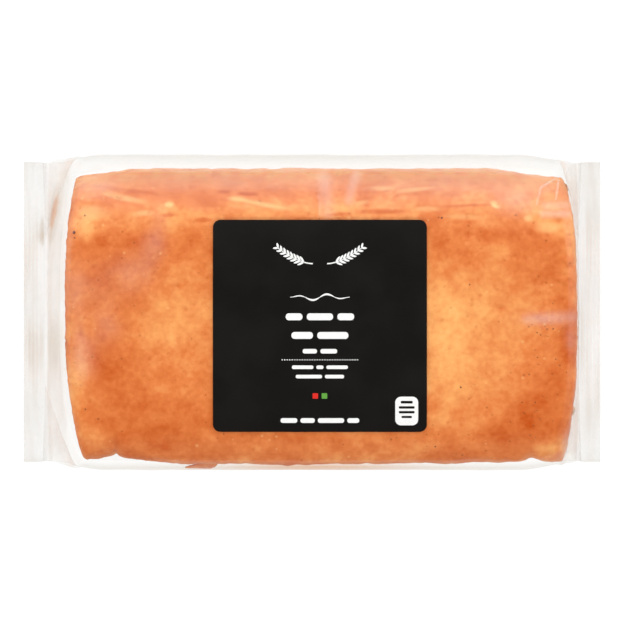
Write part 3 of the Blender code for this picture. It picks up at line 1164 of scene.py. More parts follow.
def spread(tree, value, low, high, new_low=0.0, new_high=1.0, kind="SMOOTHSTEP"):
    """Maps low..high to new_low..new_high, smoothly unless the kind is LINEAR."""
    values = {0: value, 1: low, 2: high, 3: new_low, 4: new_high}
    return put(tree, "ShaderNodeMapRange", values, interpolation_type=kind).outputs[0]


def mix_colours(tree, share, first, second, kind="MIX"):
    """The first colour turned into the second by a share. The mix node has inputs of each kind."""
    inputs = {0: share, 6: first, 7: second}
    return put(tree, "ShaderNodeMix", inputs, data_type="RGBA", blend_type=kind).outputs[2]


def read_values(tree, name):
    """The value that store_values kept by this name."""
    return put(tree, "ShaderNodeAttribute", attribute_name=name).outputs["Fac"]


def noise_at(tree, place, scale, detail):
    """Smooth noise from 0 to 1."""
    inputs = {"Vector": place, "Scale": scale, "Detail": detail}
    return put(tree, "ShaderNodeTexNoise", inputs).outputs["Fac"]


def bump(tree, height, strength, distance):
    """Normals that are tilted by a height."""
    inputs = {"Height": height, "Strength": strength, "Distance": distance}
    return put(tree, "ShaderNodeBump", inputs).outputs["Normal"]


def new_group(name, places, **values):
    """An empty node group that makes a mask from places, which are vectors, and from values.

    It comes with its own sockets, by name, and with the socket that the mask goes to.
    """
    group = bpy.data.node_groups.new(name, "ShaderNodeTree")
    for label in places:
        group.interface.new_socket(label, in_out="INPUT", socket_type="NodeSocketVector")
    for label, usual in values.items():
        socket = group.interface.new_socket(label, in_out="INPUT", socket_type="NodeSocketFloat")
        socket.default_value = usual
    group.interface.new_socket("Mask", in_out="OUTPUT", socket_type="NodeSocketFloat")
    given, result = group.nodes.new("NodeGroupInput"), group.nodes.new("NodeGroupOutput")
    return group, given.outputs, result.inputs["Mask"]


def make_patches_group():
    """Soft-edged cloudy patches, as a mask."""
    usual = {"Scale": 100.0, "Low": 0.4, "High": 0.6}
    group, given, result = new_group("cloudy_patches", ["Vector"], **usual)
    cloud = noise_at(group, given["Vector"], given["Scale"], 4.0)
    group.links.new(spread(group, cloud, given["Low"], given["High"]), result)
    return group


def make_specks_group():
    """Small scattered dots, one in some of the cells, as a mask."""
    usual = {"Scale": 400.0, "Size": 0.2, "Share": 0.3}
    group, given, result = new_group("scattered_specks", ["Vector"], **usual)
    inputs = {"Vector": given["Vector"], "Scale": given["Scale"]}
    cells = put(group, "ShaderNodeTexVoronoi", inputs).outputs
    picked = put(group, "ShaderNodeSeparateColor", {"Color": cells["Color"]}).outputs[0]
    chosen = calculate(group, "LESS_THAN", picked, given["Share"])
    size = calculate(group, "MULTIPLY", given["Size"], picked)
    size = calculate(group, "DIVIDE", size, given["Share"])
    inner = calculate(group, "MULTIPLY", size, 0.4)
    dot = spread(group, cells["Distance"], inner, size, 1.0, 0.0)
    group.links.new(calculate(group, "MULTIPLY", dot, chosen), result)
    return group


def make_fold_group():
    """A line from one point of the plan to another, as a mask that fades at the line's sides."""
    group, given, result = new_group("fold_line", ["Vector", "Start", "End"], Width=0.001)

    def combine(operation, first, second):
        values = {0: first, 1: second}
        return put(group, "ShaderNodeVectorMath", values, operation=operation).outputs

    flat = combine("MULTIPLY", given["Vector"], (1.0, 1.0, 0.0))[0]
    reach = combine("SUBTRACT", flat, given["Start"])[0]
    line = combine("SUBTRACT", given["End"], given["Start"])[0]
    along = combine("DOT_PRODUCT", reach, line)["Value"]
    whole = combine("DOT_PRODUCT", line, line)["Value"]
    share = calculate(group, "DIVIDE", along, whole, clamp=True)
    nearest = put(group, "ShaderNodeVectorMath", {0: line, "Scale": share}, operation="SCALE")
    away = combine("DISTANCE", reach, nearest.outputs[0])["Value"]
    group.links.new(spread(group, away, 0.0, given["Width"], 1.0, 0.0), result)
    return group


def mask_from(tree, group, **inputs):
    """Places a shared effect in a tree, with values of its own, and returns its mask."""
    return put(tree, "ShaderNodeGroup", inputs, node_tree=group).outputs["Mask"]


def new_material(name):
    """An empty material, its tree, and the socket that says where on the object a spot is."""
    material = bpy.data.materials.new(name)
    material.use_nodes = True
    tree = material.node_tree
    tree.nodes.clear()
    place = put(tree, "ShaderNodeTexCoord").outputs["Object"]
    return material, tree, place


def finish_material(tree, shader):
    """Shows a shader as the material's surface."""
    put(tree, "ShaderNodeOutputMaterial", {"Surface": shader.outputs[0]})


# --- Things that repeat --------------------------------------------------------------------------


def make_template(name, points, faces):
    """An object of size 1 that is copied about. It's kept out of the scene."""
    mesh = bpy.data.meshes.new(name)
    mesh.from_pydata([tuple(map(float, point)) for point in points], [], faces)
    mesh.update()
    return bpy.data.objects.new(name, mesh)


def close_plate(upper, tops, edge, thickness):
    """Gives a sheet its underside and its rim. edge goes round it clockwise, seen from above."""
    under = len(upper)
    faces = []
    for face in tops:
        faces.append(face)
        faces.append(tuple(under + index for index in reversed(face)))
    for start, end in zip(edge, edge[1:] + edge[:1]):
        faces.append((start, under + start, under + end, end))
    return upper + [(x, y, z - thickness) for x, y, z in upper], faces


DOT_AROUND = 14
DOT_DEPTH = 0.12  # in the dot's own radii


def make_dot():
    """A flat round drop of ink, closed underneath."""
    turns = [2 * math.pi * step / DOT_AROUND for step in range(DOT_AROUND)]
    upper = [(math.cos(turn), math.sin(turn), 0.0) for turn in turns]
    edge = list(range(DOT_AROUND))
    return make_template("dot_template", *close_plate(upper, [tuple(edge)], edge, DOT_DEPTH))


CRUMB_AROUND = 9
CRUMB_RINGS = 6
CRUMB_FLATNESS = 0.8
CRUMB_ROUGHNESS = 0.55
CRUMB_WAVES = (0.8, 0.8, 0.8)


def make_crumb(shift):
    """A small rough crumb."""
    points = [(0.0, 0.0, -CRUMB_FLATNESS)]
    for ring in range(1, CRUMB_RINGS):
        tilt = math.pi * ring / CRUMB_RINGS
        across, height = math.sin(tilt), -math.cos(tilt) * CRUMB_FLATNESS
        for step in range(CRUMB_AROUND):
            turn = 2 * math.pi * step / CRUMB_AROUND
            point = (across * math.cos(turn), across * math.sin(turn), height)
            rough = 1 + waves(point, (CRUMB_ROUGHNESS, CRUMB_WAVES, shift))
            points.append(tuple(value * rough for value in point))
    points.append((0.0, 0.0, CRUMB_FLATNESS))
    top = len(points) - 1
    faces = []
    for step in range(CRUMB_AROUND):
        onwards = (step + 1) % CRUMB_AROUND
        faces.append((0, 1 + onwards, 1 + step))
        faces.append((top, top - CRUMB_AROUND + step, top - CRUMB_AROUND + onwards))
        for ring in range(CRUMB_RINGS - 2):
            low = 1 + ring * CRUMB_AROUND
            high = low + CRUMB_AROUND
            faces.append((low + step, low + onwards, high + onwards, high + step))
    return make_template(f"crumb_template_{shift}", points, faces)


def scatter_tree(name):
    """Puts a copy of an object on each point, sized by the point's own value, as one mesh."""
    tree = bpy.data.node_groups.new(name, "GeometryNodeTree")
    for label, kind in (
        ("Spots", "NodeSocketGeometry"),
        ("Thing", "NodeSocketObject"),
        ("Finish", "NodeSocketMaterial"),
        ("Turning", "NodeSocketFloat"),
        ("Seed", "NodeSocketInt"),
    ):
        tree.interface.new_socket(label, in_out="INPUT", socket_type=kind)
    tree.interface.new_socket("Copies", in_out="OUTPUT", socket_type="NodeSocketGeometry")
    given, result = tree.nodes.new("NodeGroupInput"), tree.nodes.new("NodeGroupOutput")
    thing = put(tree, "GeometryNodeObjectInfo", {"Object": given.outputs["Thing"]})
    size = put(tree, "GeometryNodeInputNamedAttribute", {"Name": "size"}, data_type="FLOAT")
    inputs = {"Min": (-1.0, -1.0, -1.0), "Max": (1.0, 1.0, 1.0), "Seed": given.outputs["Seed"]}
    turn = put(tree, "FunctionNodeRandomValue", inputs, data_type="FLOAT_VECTOR")
    inputs = {0: turn.outputs[0], "Scale": given.outputs["Turning"]}
    turn = put(tree, "ShaderNodeVectorMath", inputs, operation="SCALE")
    inputs = {
        "Points": given.outputs["Spots"],
        "Instance": thing.outputs["Geometry"],
        "Rotation": turn.outputs[0],
        "Scale": size.outputs[0],
    }
    copies = put(tree, "GeometryNodeInstanceOnPoints", inputs)
    real = put(tree, "GeometryNodeRealizeInstances", {"Geometry": copies.outputs[0]})
    inputs = {"Geometry": real.outputs[0], "Material": given.outputs["Finish"]}
    finish = put(tree, "GeometryNodeSetMaterial", inputs)
    tree.links.new(finish.outputs[0], result.inputs["Copies"])
    return tree


def scatter(name, spots, sizes, thing, material, turned=True, seed=7):
    """One piece made of copies of a thing at the spots."""
    tree = scatter_tree(f"{name}_copies")
    mesh = bpy.data.meshes.new(f"{name}_spots")
    mesh.from_pydata([tuple(map(float, spot)) for spot in spots], [], [])
    holder = bpy.data.objects.new(f"{name}_spots", mesh)
    store_values(holder, "size", sizes)
    bpy.context.scene.collection.objects.link(holder)
    modifier = holder.modifiers.new("copies", "NODES")
    modifier.node_group = tree
    values = {
        "Thing": thing,
        "Finish": material,
        "Turning": math.pi if turned else 0.0,
        "Seed": seed,
    }
    for item in tree.interface.items_tree:
        if item.in_out == "INPUT" and item.name in values:
            modifier[item.identifier] = values[item.name]
    bpy.context.view_layer.update()
    evaluated = holder.evaluated_get(bpy.context.evaluated_depsgraph_get())
    final = bpy.data.meshes.new_from_object(evaluated)
    holder.modifiers.remove(modifier)
    bpy.data.objects.remove(holder)
    piece = bpy.data.objects.new(name, final)
    bpy.context.scene.collection.objects.link(piece)
    return dress_piece(piece)


# Dark flecks that are seen one by one: x, y and half-width in mm.
LARGE_FLECKS = (
    (-99.7, 33.2, 0.80),
    (-99.4, 31.0, 0.36),
    (-95.2, 40.4, 0.42),
    (54.4, 39.5, 0.55),
    (62.2, -31.5, 0.45),
    (51.7, -56.3, 0.42),
    (-87.6, 51.0, 0.30),
    (85.5, 40.6, 0.34),
    (-94.8, -40.6, 0.36),
    (94.6, 15.0, 0.28),
    (66.0, 11.5, 0.32),
    (100.8, 3.5, 0.30),
)
# Small ones, all over the top and then near its right end: how many, and in what ranges of x, y
# and half-width in mm.
SMALL_FLECKS = (
    (46, (-100, 106), (-60, 52), (0.12, 0.22)),
    (34, (86, 107), (-54, -2), (0.16, 0.36)),
)
FLECK_SINK = 0.25
FLECK_SEED = 12
CRUMB_COUNT = 26
CRUMB_SEED = 5
CRUMB_HALVES = (0.25, 0.55)  # in mm
LEFT_CRUMBS = 0.6  # the share of them that lie at the left end of the loaf
LEFT_CRUMB_Y = (-0.050, 0.052)
LEFT_CRUMB_GAP = (0.0010, 0.0018)
LEFT_CRUMB_BASE = 0.0046
SIDE_CRUMB_X = (-0.095, 0.100)
SIDE_CRUMB_Y = 0.0530
SIDE_CRUMB_BASE = 0.0009


def make_flecks(cake, material):
    """Dark flecks on the top of the crust, sunk into it a little."""
    crust = surface_tree(cake)
    draw = random.Random(FLECK_SEED)
    wanted = list(LARGE_FLECKS)
    for count, *ranges in SMALL_FLECKS:
        wanted += [[draw.uniform(*reach) for reach in ranges] for _ in range(count)]
    spots, sizes = [], []
    for x, y, half in wanted:
        place = crust.ray_cast((x * MM, y * MM, 2 * PACK_HEIGHT), (0.0, 0.0, -1.0))[0]
        if place is not None:
            spots.append((place.x, place.y, place.z - half * MM * FLECK_SINK))
            sizes.append(half * MM)
    scatter("flecks", spots, sizes, make_crumb(3.3), material, seed=4)


def make_crumbs(material):
    """Crumbs that lie in the bag's lower corners, at the foot of the loaf."""
    draw = random.Random(CRUMB_SEED)
    spots, sizes = [], []
    for _ in range(CRUMB_COUNT):
        half = draw.uniform(*CRUMB_HALVES) * MM
        if draw.random() < LEFT_CRUMBS:
            y = draw.uniform(*LEFT_CRUMB_Y)
            x = float(loaf_end(-1, y)) + draw.uniform(*LEFT_CRUMB_GAP)
            spots.append((x, y, LEFT_CRUMB_BASE + half))
        else:
            side = draw.choice((-1, 1))
            x = draw.uniform(*SIDE_CRUMB_X)
            spots.append((x, side * SIDE_CRUMB_Y, SIDE_CRUMB_BASE + half))
        sizes.append(half)
    scatter("crumbs", spots, sizes, make_crumb(1.3), material, seed=9)


# --- The label and its print ---------------------------------------------------------------------

LABEL_THICKNESS = 0.00012
LABEL_LIFT = 0.00008
LABEL_STEPS = 80
LABEL_WRINKLES = (0.00006, (0.012, 0.005, 1.0), 8.0)
LABEL_SHARP_TURN = math.radians(40)
CORNER_STEPS = 6
PRINT_THICKNESS = 0.00004
PRINT_LIFT = 0.7 * PRINT_THICKNESS
PRINT_STEP = 0.0011


def film_height(x, y):
    """The height of the film over the middle of the loaf."""
    roundness = FAR_TOP_ROUNDNESS if y > 0 else NEAR_TOP_ROUNDNESS
    across = min(abs(y) / (PACK_WIDTH / 2), 1.0)
    rise = (1 - across**roundness) ** (1 / roundness)
    even = with_swell(x, WIDEST_HEIGHT + (PACK_HEIGHT - WIDEST_HEIGHT) * rise)
    return float(even) + top_relief(x, y)


def label_height(x, y):
    """The height of the label's face, which has small wrinkles of its own."""
    wrinkle = abs(waves((x, y, 0.0), LABEL_WRINKLES))
    return film_height(x, y) + LABEL_LIFT + LABEL_THICKNESS + wrinkle


def plate(outline_rows, height_of, thickness):
    """Points and faces of a thin closed plate that follows a surface.

    outline_rows holds (y, x on the left, x on the right) from one edge to the other, and every
    row gets the same number of columns.
    """
    widest = max(right - left for _, left, right in outline_rows)
    columns = max(2, round(widest / PRINT_STEP))
    upper = []
    for y, left, right in outline_rows:
        for column in range(columns + 1):
            x = left + (right - left) * column / columns
            upper.append((x, y, height_of(x, y)))
    count = columns + 1
    rows = len(outline_rows)
    tops = []
    for row in range(rows - 1):
        for column in range(columns):
            corner = row * count + column
            tops.append((corner, corner + 1, corner + count + 1, corner + count))
    edge = list(range(columns))
    edge += [row * count + columns for row in range(rows - 1)]
    edge += [(rows - 1) * count + column for column in range(columns, 0, -1)]
    edge += [row * count for row in range(rows - 1, 0, -1)]
    return close_plate(upper, tops, edge, thickness)


def rounded_rows(centre_x, centre_y, half_x, half_y, corner, step):
    """Rows, from near to far, of a rectangle with rounded corners."""
    straight = half_y - corner
    turns = [math.pi / 2 * number / CORNER_STEPS for number in range(CORNER_STEPS)]
    near = [
        (-straight - corner * math.cos(turn), half_x - corner * (1 - math.sin(turn)))
        for turn in turns
    ]
    count = max(1, round(2 * straight / step))
    middle = [(-straight + 2 * straight * number / count, half_x) for number in range(count + 1)]
    far = [(-y, half) for y, half in reversed(near)]
    rows = near + middle + far
    return [(centre_y + y, centre_x - half, centre_x + half) for y, half in rows]


def make_label(material):
    """The sticker, which follows the film under it."""
    step = 2 * LABEL_HALF_Y / LABEL_STEPS
    rows = rounded_rows(LABEL_X, LABEL_Y, LABEL_HALF_X, LABEL_HALF_Y, LABEL_CORNER, step)
    points, faces = plate(rows, label_height, LABEL_THICKNESS)
    label = make_piece("label", points, faces, material)
    label.data.set_sharp_from_angle(angle=LABEL_SHARP_TURN)
    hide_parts("label")


def print_height(x, y):
    """The height of the ink's face, on the label."""
    return label_height(x, y) + PRINT_LIFT


def overprint_height(x, y):
    """The height of the face of ink that is printed over other ink."""
    return print_height(x, y) + PRINT_LIFT


FULL_CORNER = 0.999  # a fully round corner stops just short, so that no two rows meet


def join_plates(name, plates, material):
    """Joins several closed plates, each given as (points, faces), into one printed piece."""
    points, faces = [], []
    for more, more_faces in plates:
        faces += [tuple(len(points) + index for index in face) for face in more_faces]
        points += more
    return make_piece(name, points, faces, material, smooth=False)


def print_shapes(name, shapes, material, height_of=print_height):
    """Prints rounded shapes: (x, y, width, height, corner) in mm, from the middle of the label."""
    plates = []
    for x, y, width, height, corner in shapes:
        middle_x, middle_y = LABEL_X + x * MM, LABEL_Y + y * MM
        half_x, half_y = width * MM / 2, height * MM / 2
        round_corner = min(corner * MM, half_x, half_y) * FULL_CORNER
        rows = rounded_rows(middle_x, middle_y, half_x, half_y, round_corner, PRINT_STEP)
        plates.append(plate(rows, height_of, PRINT_THICKNESS))
    return join_plates(name, plates, material)


def stroke(line, halves):
    """A thin closed plate along a line of (x, y), in mm from the label's middle.

    halves holds the stroke's half-width at each of the line's points.
    """
    line, halves = np.array(line), np.array(halves)
    along = np.gradient(line, axis=0)
    along /= np.linalg.norm(along, axis=1, keepdims=True)
    aside = np.column_stack((-along[:, 1], along[:, 0])) * halves[:, None]
    upper = []
    for x, y in np.vstack((line - aside, line + aside)):
        x, y = LABEL_X + x * MM, LABEL_Y + y * MM
        upper.append((x, y, print_height(x, y)))
    count = len(line)
    tops = [(step, step + 1, count + step + 1, count + step) for step in range(count - 1)]
    edge = list(range(count)) + list(range(2 * count - 1, count - 1, -1))
    return close_plate(upper, tops, edge, PRINT_THICKNESS)


# The sprigs and the swash, in mm from the label's middle. Halves are half-widths.
LEAF_STEPS = 9
LEAF_TIP_HALF = 0.03
LEAF_HALF = 0.42
LEAF_FULLNESS = 0.7
LEAF_LEAN = math.radians(38)  # from the stalk
SPRIG_STEPS = 30
SPRIG_START = (3.0, 26.0)
SPRIG_LENGTH = 15.0
SPRIG_RISE = 7.0
SPRIG_BEND = 1.7
SPRIG_HALF = 0.16
SPRIG_FOOT_HALF = 0.10  # more at its foot
SPRIG_LEAVES = 8
FIRST_LEAF = 0.24  # as a share of the stalk, and the last one is this much further on
LEAF_REACH = 0.72
SPRIG_LEAF = 3.4
LEAF_SHRINK = 0.35
SWASH_STEPS = 64
SWASH_HALF_LENGTH = 12.5
SWASH_Y = 12.0
SWASH_RISE = 1.3
SWASH_HALF = 0.12
SWASH_SWELL = 0.30
SWASH_WAVES = 2.0
DASH_ROUNDNESS = 0.45  # of its height


def leaf(x, y, length, turn):
    """A pointed leaf that starts at (x, y) and grows along turn, an angle from +X."""
    shares = np.linspace(0.0, 1.0, LEAF_STEPS)
    line = [(x + length * s * math.cos(turn), y + length * s * math.sin(turn)) for s in shares]
    return stroke(line, LEAF_TIP_HALF + LEAF_HALF * np.sin(math.pi * shares) ** LEAF_FULLNESS)


def stalk(side, share):
    """The spot a share of the way up the stalk that leans to side, -1 or 1."""
    x = side * (SPRIG_START[0] + SPRIG_LENGTH * share)
    return x, SPRIG_START[1] + SPRIG_RISE * share**SPRIG_BEND


def sprig(mirrored):
    """One ear of grain: a bent stalk with leaves on both sides, from the middle outwards."""
    side = -1 if mirrored else 1
    shares = np.linspace(0.0, 1.0, SPRIG_STEPS)
    line = [stalk(side, share) for share in shares]
    plates = [stroke(line, SPRIG_HALF + SPRIG_FOOT_HALF * (1 - shares))]
    for number in range(SPRIG_LEAVES):
        share = FIRST_LEAF + LEAF_REACH * number / (SPRIG_LEAVES - 1)
        x, y = stalk(side, share)
        slope = SPRIG_BEND * SPRIG_RISE * share ** (SPRIG_BEND - 1)
        lean = math.atan2(slope, SPRIG_LENGTH)
        for way in (-1, 1):
            turn = lean + way * LEAF_LEAN
            turn = math.pi - turn if mirrored else turn
            plates.append(leaf(x, y, SPRIG_LEAF * (1.0 - LEAF_SHRINK * share), turn))
    return plates


def swash():
    """A thin wave with swelling strokes, under the sprigs."""
    shares = np.linspace(0.0, 1.0, SWASH_STEPS)
    wave = np.sin(2 * math.pi * SWASH_WAVES * shares)
    fade = np.sin(math.pi * shares)
    xs = SWASH_HALF_LENGTH * (2 * shares - 1)
    ys = SWASH_Y + SWASH_RISE * wave * fade
    return [stroke(list(zip(xs, ys)), SWASH_HALF + SWASH_SWELL * np.abs(wave) * fade)]


def dashes(y, widths, height, gap):
    """A centred row of rounded dashes, as shapes for print_shapes."""
    left = -(sum(widths) + gap * (len(widths) - 1)) / 2
    shapes = []
    for width in widths:
        shapes.append((left + width / 2, y, width, height, height * DASH_ROUNDNESS))
        left += width + gap
    return shapes


# Rows of the print: y, the dashes' widths, their height and the gap between them, in mm.
DASH_ROWS = (
    (3.8, (7.0, 11.0, 7.0), 2.9, 1.8),
    (-4.0, (9.0, 13.0), 2.9, 1.8),
    (-10.6, (6.0, 7.0), 1.9, 1.4),
    (-17.3, (9.0, 3.0, 9.0), 1.5, 1.2),
    (-21.2, (11.0, 8.0), 1.5, 1.2),
    (-39.6, (7.0, 6.0, 11.0, 5.0), 2.0, 1.3),
)
# The badge and the marks: their middle x and y, width, height and the radius of their corners.
BADGE = (36.3, -35.6, 9.6, 12.0, 2.4)
BADGE_LINES = (
    (36.3, -31.9, 5.0, 1.1, 0.4),
    (36.3, -34.1, 6.6, 1.0, 0.4),
    (36.3, -36.1, 6.6, 1.0, 0.4),
    (36.3, -38.1, 4.4, 0.9, 0.4),
)
RED_MARK = (-1.9, -29.3, 2.3, 2.3, 0.3)
GREEN_MARK = (1.9, -29.3, 2.3, 2.3, 0.3)
# The rule of dots. Its dots' radius is in metres.
RULE_Y = -14.2
RULE_DOTS = 31
RULE_PITCH = 1.05
RULE_DOT = 0.00026


def make_print(white, black, red, green):
    """All that is printed on the label."""
    bars = [shape for row in DASH_ROWS for shape in dashes(*row)]
    print_shapes("bars", bars, white)
    join_plates("sprigs", sprig(mirrored=False) + sprig(mirrored=True), white)
    join_plates("swash", swash(), white)
    print_shapes("badge", [BADGE], white)
    print_shapes("badge_lines", BADGE_LINES, black, overprint_height)
    print_shapes("red_mark", [RED_MARK], red)
    print_shapes("green_mark", [GREEN_MARK], green)
    spots = []
    for number in range(RULE_DOTS):
        x = LABEL_X + (number - (RULE_DOTS - 1) / 2) * RULE_PITCH * MM
        y = LABEL_Y + RULE_Y * MM
        spots.append((x, y, print_height(x, y)))
    dot = make_dot()
    scatter("dot_rule", spots, [RULE_DOT] * len(spots), dot, white, turned=False)


# --- Finishes ------------------------------------------------------------------------------------

CRUST_DARK = linear(195, 79, 5)
CRUST_MID = linear(227, 130, 67)
CRUST_LIGHT = linear(255, 186, 112)
CRUMB_PALE = linear(253, 214, 146)
WALL_GOLD = linear(229, 158, 88)
BURNT = linear(150, 70, 28)
CHARRED = linear(96, 52, 34)
CHARRED_PALE = linear(150, 84, 48)
CLOUD_DEPTH = 0.26  # how much darker or paler the soft clouds and the grain make the crust
GRAIN_DEPTH = 0.18


def crust_tone(tree, cloud, grain):
    """How dark the crust is: its baking and some painted light, made uneven by soft clouds and a
    fine grain.
    """
    tone = calculate(tree, "MULTIPLY_ADD", cloud, CLOUD_DEPTH, -CLOUD_DEPTH / 2)
    tone = calculate(tree, "ADD", tone, read_values(tree, "bake"))
    grain = calculate(tree, "MULTIPLY_ADD", grain, GRAIN_DEPTH, -GRAIN_DEPTH / 2)
    return calculate(tree, "ADD", tone, grain)


def toned_colour(tree, tone):
    """The crust's colour at a tone, from light over golden brown to dark."""
    paler = spread(tree, tone, -0.1, 0.5, kind="LINEAR")
    darker = spread(tree, tone, 0.5, 1.05, kind="LINEAR")
    colour = mix_colours(tree, paler, CRUST_LIGHT, CRUST_MID)
    return mix_colours(tree, darker, colour, CRUST_DARK)


def make_crust_material(patches, specks):
    """Golden-brown crust: uneven baking with some painted light, a fine grain, burnt dots, pale
    streaks and pits with painted shade.
    """
    material, tree, place = new_material("cake_crust")
    cloud = mask_from(tree, patches, Vector=place, Scale=130.0, Low=0.25, High=0.75)
    grain = mask_from(tree, patches, Vector=place, Scale=420.0, Low=0.25, High=0.75)
    mottle = mask_from(tree, patches, Vector=place, Scale=210.0, Low=0.30, High=0.70)
    flour = mask_from(tree, specks, Vector=place, Scale=330.0, Size=0.34, Share=0.10)
    burnt = mask_from(tree, specks, Vector=place, Scale=400.0, Size=0.26, Share=0.26)
    tone = crust_tone(tree, cloud, grain)
    colour = toned_colour(tree, tone)
    # What lies over that colour, in turn: the value it follows, how much of it shows, its colour.
    for value, shown, over in (
        (read_values(tree, "wall"), spread(tree, mottle, 0.0, 1.0, 0.25, 0.9), WALL_GOLD),
        (read_values(tree, "pale"), spread(tree, grain, 0.0, 1.0, 0.65, 1.0), CRUMB_PALE),
        (flour, 0.25, CRUMB_PALE),
        (burnt, spread(tree, tone, 0.20, 0.85, 0.22, 0.85), BURNT),
        # Painted shade in the pits, darker where they are deeper.
        (read_values(tree, "pit"), 0.35, CRUST_DARK),
    ):
        colour = mix_colours(tree, calculate(tree, "MULTIPLY", value, shown), colour, over)
    height = calculate(tree, "SUBTRACT", noise_at(tree, place, 1400.0, 3.0), burnt)
    height = calculate(tree, "MULTIPLY_ADD", grain, 0.8, height)
    surface = put(
        tree,
        "ShaderNodeBsdfPrincipled",
        {
            "Base Color": colour,
            "Roughness": spread(tree, cloud, 0.0, 1.0, 0.50, 0.68),
            "Specular IOR Level": 0.25,
            "Normal": bump(tree, height, 0.30, 0.0004),
        },
    )
    finish_material(tree, surface)
    return material


def make_fleck_material():
    """Charred brown, uneven."""
    material, tree, place = new_material("dark_fleck")
    shade = spread(tree, noise_at(tree, place, 1800.0, 2.0), 0.3, 0.7)
    colour = mix_colours(tree, shade, CHARRED, CHARRED_PALE)
    surface = put(tree, "ShaderNodeBsdfPrincipled", {"Base Color": colour, "Roughness": 0.7})
    finish_material(tree, surface)
    return material


# Painted highlights along sharp folds of the film: from (x, y) to (x, y), half-width in mm, and
# how strong each painted highlight is.
SHARP_FOLDS = (
    ((103.8, 55.5), (102.2, 47.1), 0.70, 0.22),
    ((102.6, 56.3), (96.1, 52.3), 0.80, 0.20),
    ((96.1, 52.3), (94.2, 45.2), 0.80, 0.13),
    ((-86.0, 60.8), (72.0, 60.8), 2.80, 0.17),
    ((72.0, 60.8), (102.6, 57.6), 2.40, 0.16),
    ((98.0, 44.4), (107.5, 44.8), 3.20, 0.13),
    ((97.0, 40.8), (107.5, 41.2), 3.00, 0.16),
    ((2.9, 49.0), (3.4, 40.5), 0.80, 0.12),
    ((4.6, 60.5), (6.4, 42.0), 5.00, 0.12),
    ((18.8, 59.0), (15.5, 47.0), 3.60, 0.13),
    ((-100.5, 57.2), (-88.3, 58.9), 0.60, 0.20),
    ((-88.3, 58.9), (-75.3, 61.4), 0.60, 0.20),
    ((90.0, -3.0), (110.5, -1.8), 4.00, 0.10),
)
FOLDS_START = 0.040  # the painted fold highlights show from this height, and wholly from the next
FOLDS_WHOLE = 0.046

# What the film lets through: seen straight on, edge on, where it's grey with painted shade, and
# where it shows a painted reflection of the crust's colour.
FILM_CLEAR = (0.994, 0.993, 0.990)
FILM_ASLANT = (0.885, 0.865, 0.84)
FILM_GREY = (0.880, 0.845, 0.805)
FILM_BLUSH = (0.900, 0.560, 0.370)
# The white of the milky seals, of the painted glare and of the painted fold highlights.
FILM_MILK = (0.90, 0.88, 0.86)
FILM_LEAST_MIRROR = 0.050  # how much it mirrors seen straight on, and how much more edge on
FILM_MORE_MIRROR = 0.50
GREY_WHOLE = 0.35  # up to this the film is greyer with painted shade; past it, a painted reflection of the crust shows
GLOSS_WHITE = (1.0, 1.0, 1.0)


def sharp_folds(tree, fold_group, place):
    """The painted highlights along the sharp folds of the film over the loaf."""
    total = 0.0
    for start, end, width, strength in SHARP_FOLDS:
        ends = [(x * MM, y * MM, 0.0) for x, y in (start, end)]
        inputs = {"Vector": place, "Start": ends[0], "End": ends[1], "Width": width * MM}
        line = mask_from(tree, fold_group, **inputs)
        total = calculate(tree, "MAXIMUM", calculate(tree, "MULTIPLY", line, strength), total)
    height = put(tree, "ShaderNodeSeparateXYZ", {"Vector": place}).outputs["Z"]
    return calculate(tree, "MULTIPLY", total, spread(tree, height, FOLDS_START, FOLDS_WHOLE))


def film_colour(tree, facing):
    """What the film lets through: less where it's seen edge on, where it's grey with painted shade
    or shows a painted reflection of the crust, or both.
    """
    tinged = read_values(tree, "tinge")
    edge_on = spread(tree, facing, 0.25, 0.62)
    through = mix_colours(tree, calculate(tree, "POWER", facing, 3.0), FILM_CLEAR, FILM_ASLANT)
    for share, colour in (
        (spread(tree, tinged, 0.0, GREY_WHOLE), FILM_GREY),
        (spread(tree, tinged, GREY_WHOLE, 1.0), FILM_BLUSH),
        # A painted reflection of the crust where the film is seen edge on.
        (calculate(tree, "MULTIPLY", read_values(tree, "edge"), edge_on), FILM_BLUSH),
    ):
        through = mix_colours(tree, share, through, colour, "MULTIPLY")
    return through


